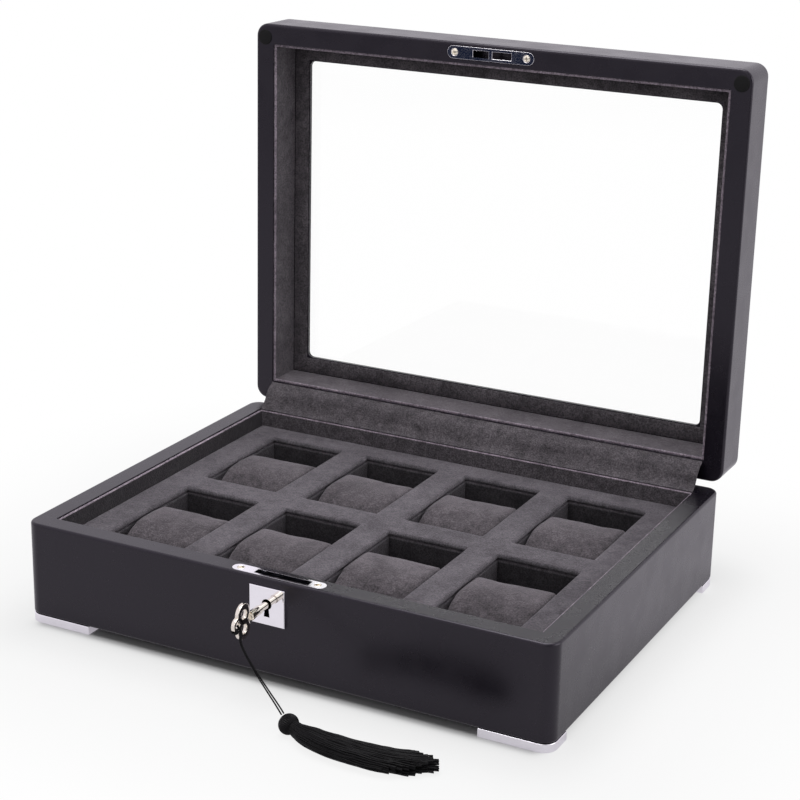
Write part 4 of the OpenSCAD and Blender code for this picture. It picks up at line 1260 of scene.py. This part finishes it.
for node in ("floor_panel",):
    finish_node(node, LACQUER)
for node in ("hinge_base_leaf_left", "hinge_base_leaf_right", "hinge_lid_leaf_left", "hinge_lid_leaf_right", "hinge_pins"):
    finish_node(node, CHROME)
for node in ("lock_case", "lock_cam"):
    finish_node(node, BLUED)
for node in ("claw_left", "claw_right"):
    finish_node(node, STEEL)
finish_node("glass_pane", GLASS)


# ---------------------------------------------------------------- floor and light

STUDIO_TINT = (0.97, 0.93, 1.0)
FLOOR_STOPS = [(d / 200, (v, v, v)) for d, v in (
    (0.0, 0.0), (3.0, 0.08), (4.7, 0.19), (6.7, 0.45), (8.8, 0.63), (11.0, 0.69), (15.0, 0.73), (28.0, 0.76),
    (53.0, 0.85), (83.0, 0.89), (150.0, 0.97), (200.0, 1.0))]

def floor_material():
    """Pale floor that keeps the soft shadow under and near the box and runs out to plain white; under the box its
    colour is also darker, a painted shadow.

    In gloss it is lit floor in front of the box, with more white mixed in towards the left, plain white behind it and a
    dark patch further out in front; the left-graded white and the dark patch are painted reflections.
    """
    n = Nodes("pale_floor")
    diffuse = n.add("ShaderNodeBsdfDiffuse")
    glow = n.add("ShaderNodeEmission", Strength=1.0)
    path = n.add("ShaderNodeLightPath")
    place = n.add("ShaderNodeSeparateXYZ")
    n.put(place, "Vector", n.coords.outputs["Object"])
    x, y = place.outputs["X"], place.outputs["Y"]
    side = n.math("MAXIMUM", n.math("SUBTRACT", n.math("ABSOLUTE", x, 0), (CASE_W / 2 - 12) * MM), 0)
    end = n.math("MAXIMUM", n.math("SUBTRACT", n.math("ABSOLUTE", y, 0), (CASE_D / 2 - 3) * MM), 0)
    away = n.math("SQRT", n.math("ADD", n.math("POWER", side, 2), n.math("POWER", end, 2)), 0)
    # Painted shadow: the floor's own colour is 0.44 under the box, rising to 0.60 over 8 mm round its edges.
    n.put(diffuse, "Color", n.mix(n.span(away, 0.0, 0.008, 0.0, 1.0), (0.44, 0.44, 0.445), (0.60, 0.60, 0.605)))
    reach = n.ramp(n.span(away, 0.0, 0.2, 0.0, 1.0), FLOOR_STOPS)
    glossy = n.math("SUBTRACT", path.outputs["Is Glossy Ray"], path.outputs["Is Transmission Ray"])
    glossy = n.math("MAXIMUM", glossy, 0)
    # Painted reflection: a dark patch on the floor about 2 m in front of the box, seen only in gloss.
    far_x, far_y = n.math("ADD", x, 0.95), n.math("ADD", y, 1.93)
    dark_patch_distance = n.math("SQRT", n.math("ADD", n.math("POWER", far_x, 2), n.math("POWER", far_y, 2)), 0)
    painted_dark_patch = n.span(dark_patch_distance, 0.6, 0.9, 1.0, 0.0)
    # Painted reflection: in gloss the floor near the box has more white mixed in towards the left, so reflections in
    # the case front lighten towards the left.
    near = n.math("MULTIPLY", n.span(away, 0.0, 0.03, 0.62, 1.0), n.span(x, -0.3, 0.1, 0.75, 0.5))
    behind = n.math("MULTIPLY", n.span(y, -0.16, 0.05, 0.0, 1.0), n.span(away, 0.0, 0.04, 0.35, 1.0))
    shown = n.math("MAXIMUM", n.math("MAXIMUM", near, painted_dark_patch), behind)
    direct = n.math("MULTIPLY", path.outputs["Is Camera Ray"], reach)
    gloss = n.math("MULTIPLY", glossy, shown)
    through = n.math("MULTIPLY", path.outputs["Is Transmission Ray"], reach)
    mixer = n.add("ShaderNodeMixShader")
    n.put(mixer, "Fac", n.math("MAXIMUM", n.math("MAXIMUM", direct, gloss), through))
    tint = n.mix(glossy, (1.0, 1.0, 1.0), STUDIO_TINT)
    n.put(glow, "Color", n.mix(n.math("MULTIPLY", glossy, painted_dark_patch), tint, (0.010, 0.014, 0.030)))
    n.tree.links.new(diffuse.outputs["BSDF"], mixer.inputs[1])
    n.tree.links.new(glow.outputs["Emission"], mixer.inputs[2])
    n.tree.links.new(mixer.outputs["Shader"], n.output.inputs["Surface"])
    return n.material


def make_stage():
    mesh = bpy.data.meshes.new("floor")
    half = 3.0
    mesh.from_pydata([(-half, -half, 0), (half, -half, 0), (half, half, 0), (-half, half, 0)], [], [(0, 1, 2, 3)])
    floor = new_object("floor", mesh, floor_material())


def area_light(name, place, aim, size, power, colour=(1, 1, 1)):
    data = bpy.data.lights.new(name, "AREA")
    data.shape = "RECTANGLE"
    data.size, data.size_y = size
    data.energy = power
    data.color = colour
    lamp = bpy.data.objects.new(name, data)
    lamp.location = place
    lamp.rotation_euler = (Vector(aim) - Vector(place)).to_track_quat("-Z", "Y").to_euler()
    bpy.context.scene.collection.objects.link(lamp)


def make_world():
    """White all round to the eye and through glass; in gloss one dark region towards the front, a painted dark
    reflection that does not dim the light on the object.
    """
    world = bpy.data.worlds.new("studio")
    bpy.context.scene.world = world
    world.use_nodes = True
    tree = world.node_tree
    tree.nodes.clear()

    def add(kind, operation=None, *links):
        node = tree.nodes.new(kind)
        if operation:
            node.operation = operation
        for socket, value in zip(node.inputs, links):
            if isinstance(value, bpy.types.NodeSocket):
                tree.links.new(value, socket)
            else:
                socket.default_value = value
        return node

    path = add("ShaderNodeLightPath")
    seen = add("ShaderNodeMath", "MAXIMUM", path.outputs["Is Camera Ray"], path.outputs["Is Transmission Ray"])
    shown = add("ShaderNodeMath", "MAXIMUM", seen.outputs[0], path.outputs["Is Glossy Ray"])
    # Painted reflection: the world darkens in gloss only, around one direction in front of the box.
    front = add("ShaderNodeVectorMath", "DOT_PRODUCT", add("ShaderNodeTexCoord").outputs["Generated"], (0.43, -0.84, 0.32))
    studio = add("ShaderNodeMapRange", None, front.outputs["Value"], 0.8, 0.93, 1.0, 0.05)
    lit = add("ShaderNodeBackground", None, (1, 1, 1, 1), 0.24)
    plain = add("ShaderNodeBackground", None, (1, 1, 1, 1), 1.0)
    gloss = add("ShaderNodeBackground", None, (*STUDIO_TINT, 1), studio.outputs["Result"])
    both = add("ShaderNodeMixShader", None, seen.outputs[0], gloss.outputs[0], plain.outputs[0])
    mixer = add("ShaderNodeMixShader", None, shown.outputs[0], lit.outputs[0], both.outputs[0])
    tree.links.new(mixer.outputs[0], add("ShaderNodeOutputWorld").inputs["Surface"])


make_stage()
make_world()
area_light("overhead", (-0.1, 0.02, 1.3), (0.0, 0.0, 0.0), (1.2, 0.7), 13.0)
area_light("front_fill", (0.35, -1.5, 0.9), (0.0, 0.0, 0.08), (1.2, 0.7), 3.0)
area_light("right_side", (1.3, 0.1, 0.55), (0.1, 0.0, 0.1), (0.9, 0.7), 6.0)

scene = bpy.context.scene
scene.view_settings.view_transform = "Standard"
bpy.context.view_layer.update()
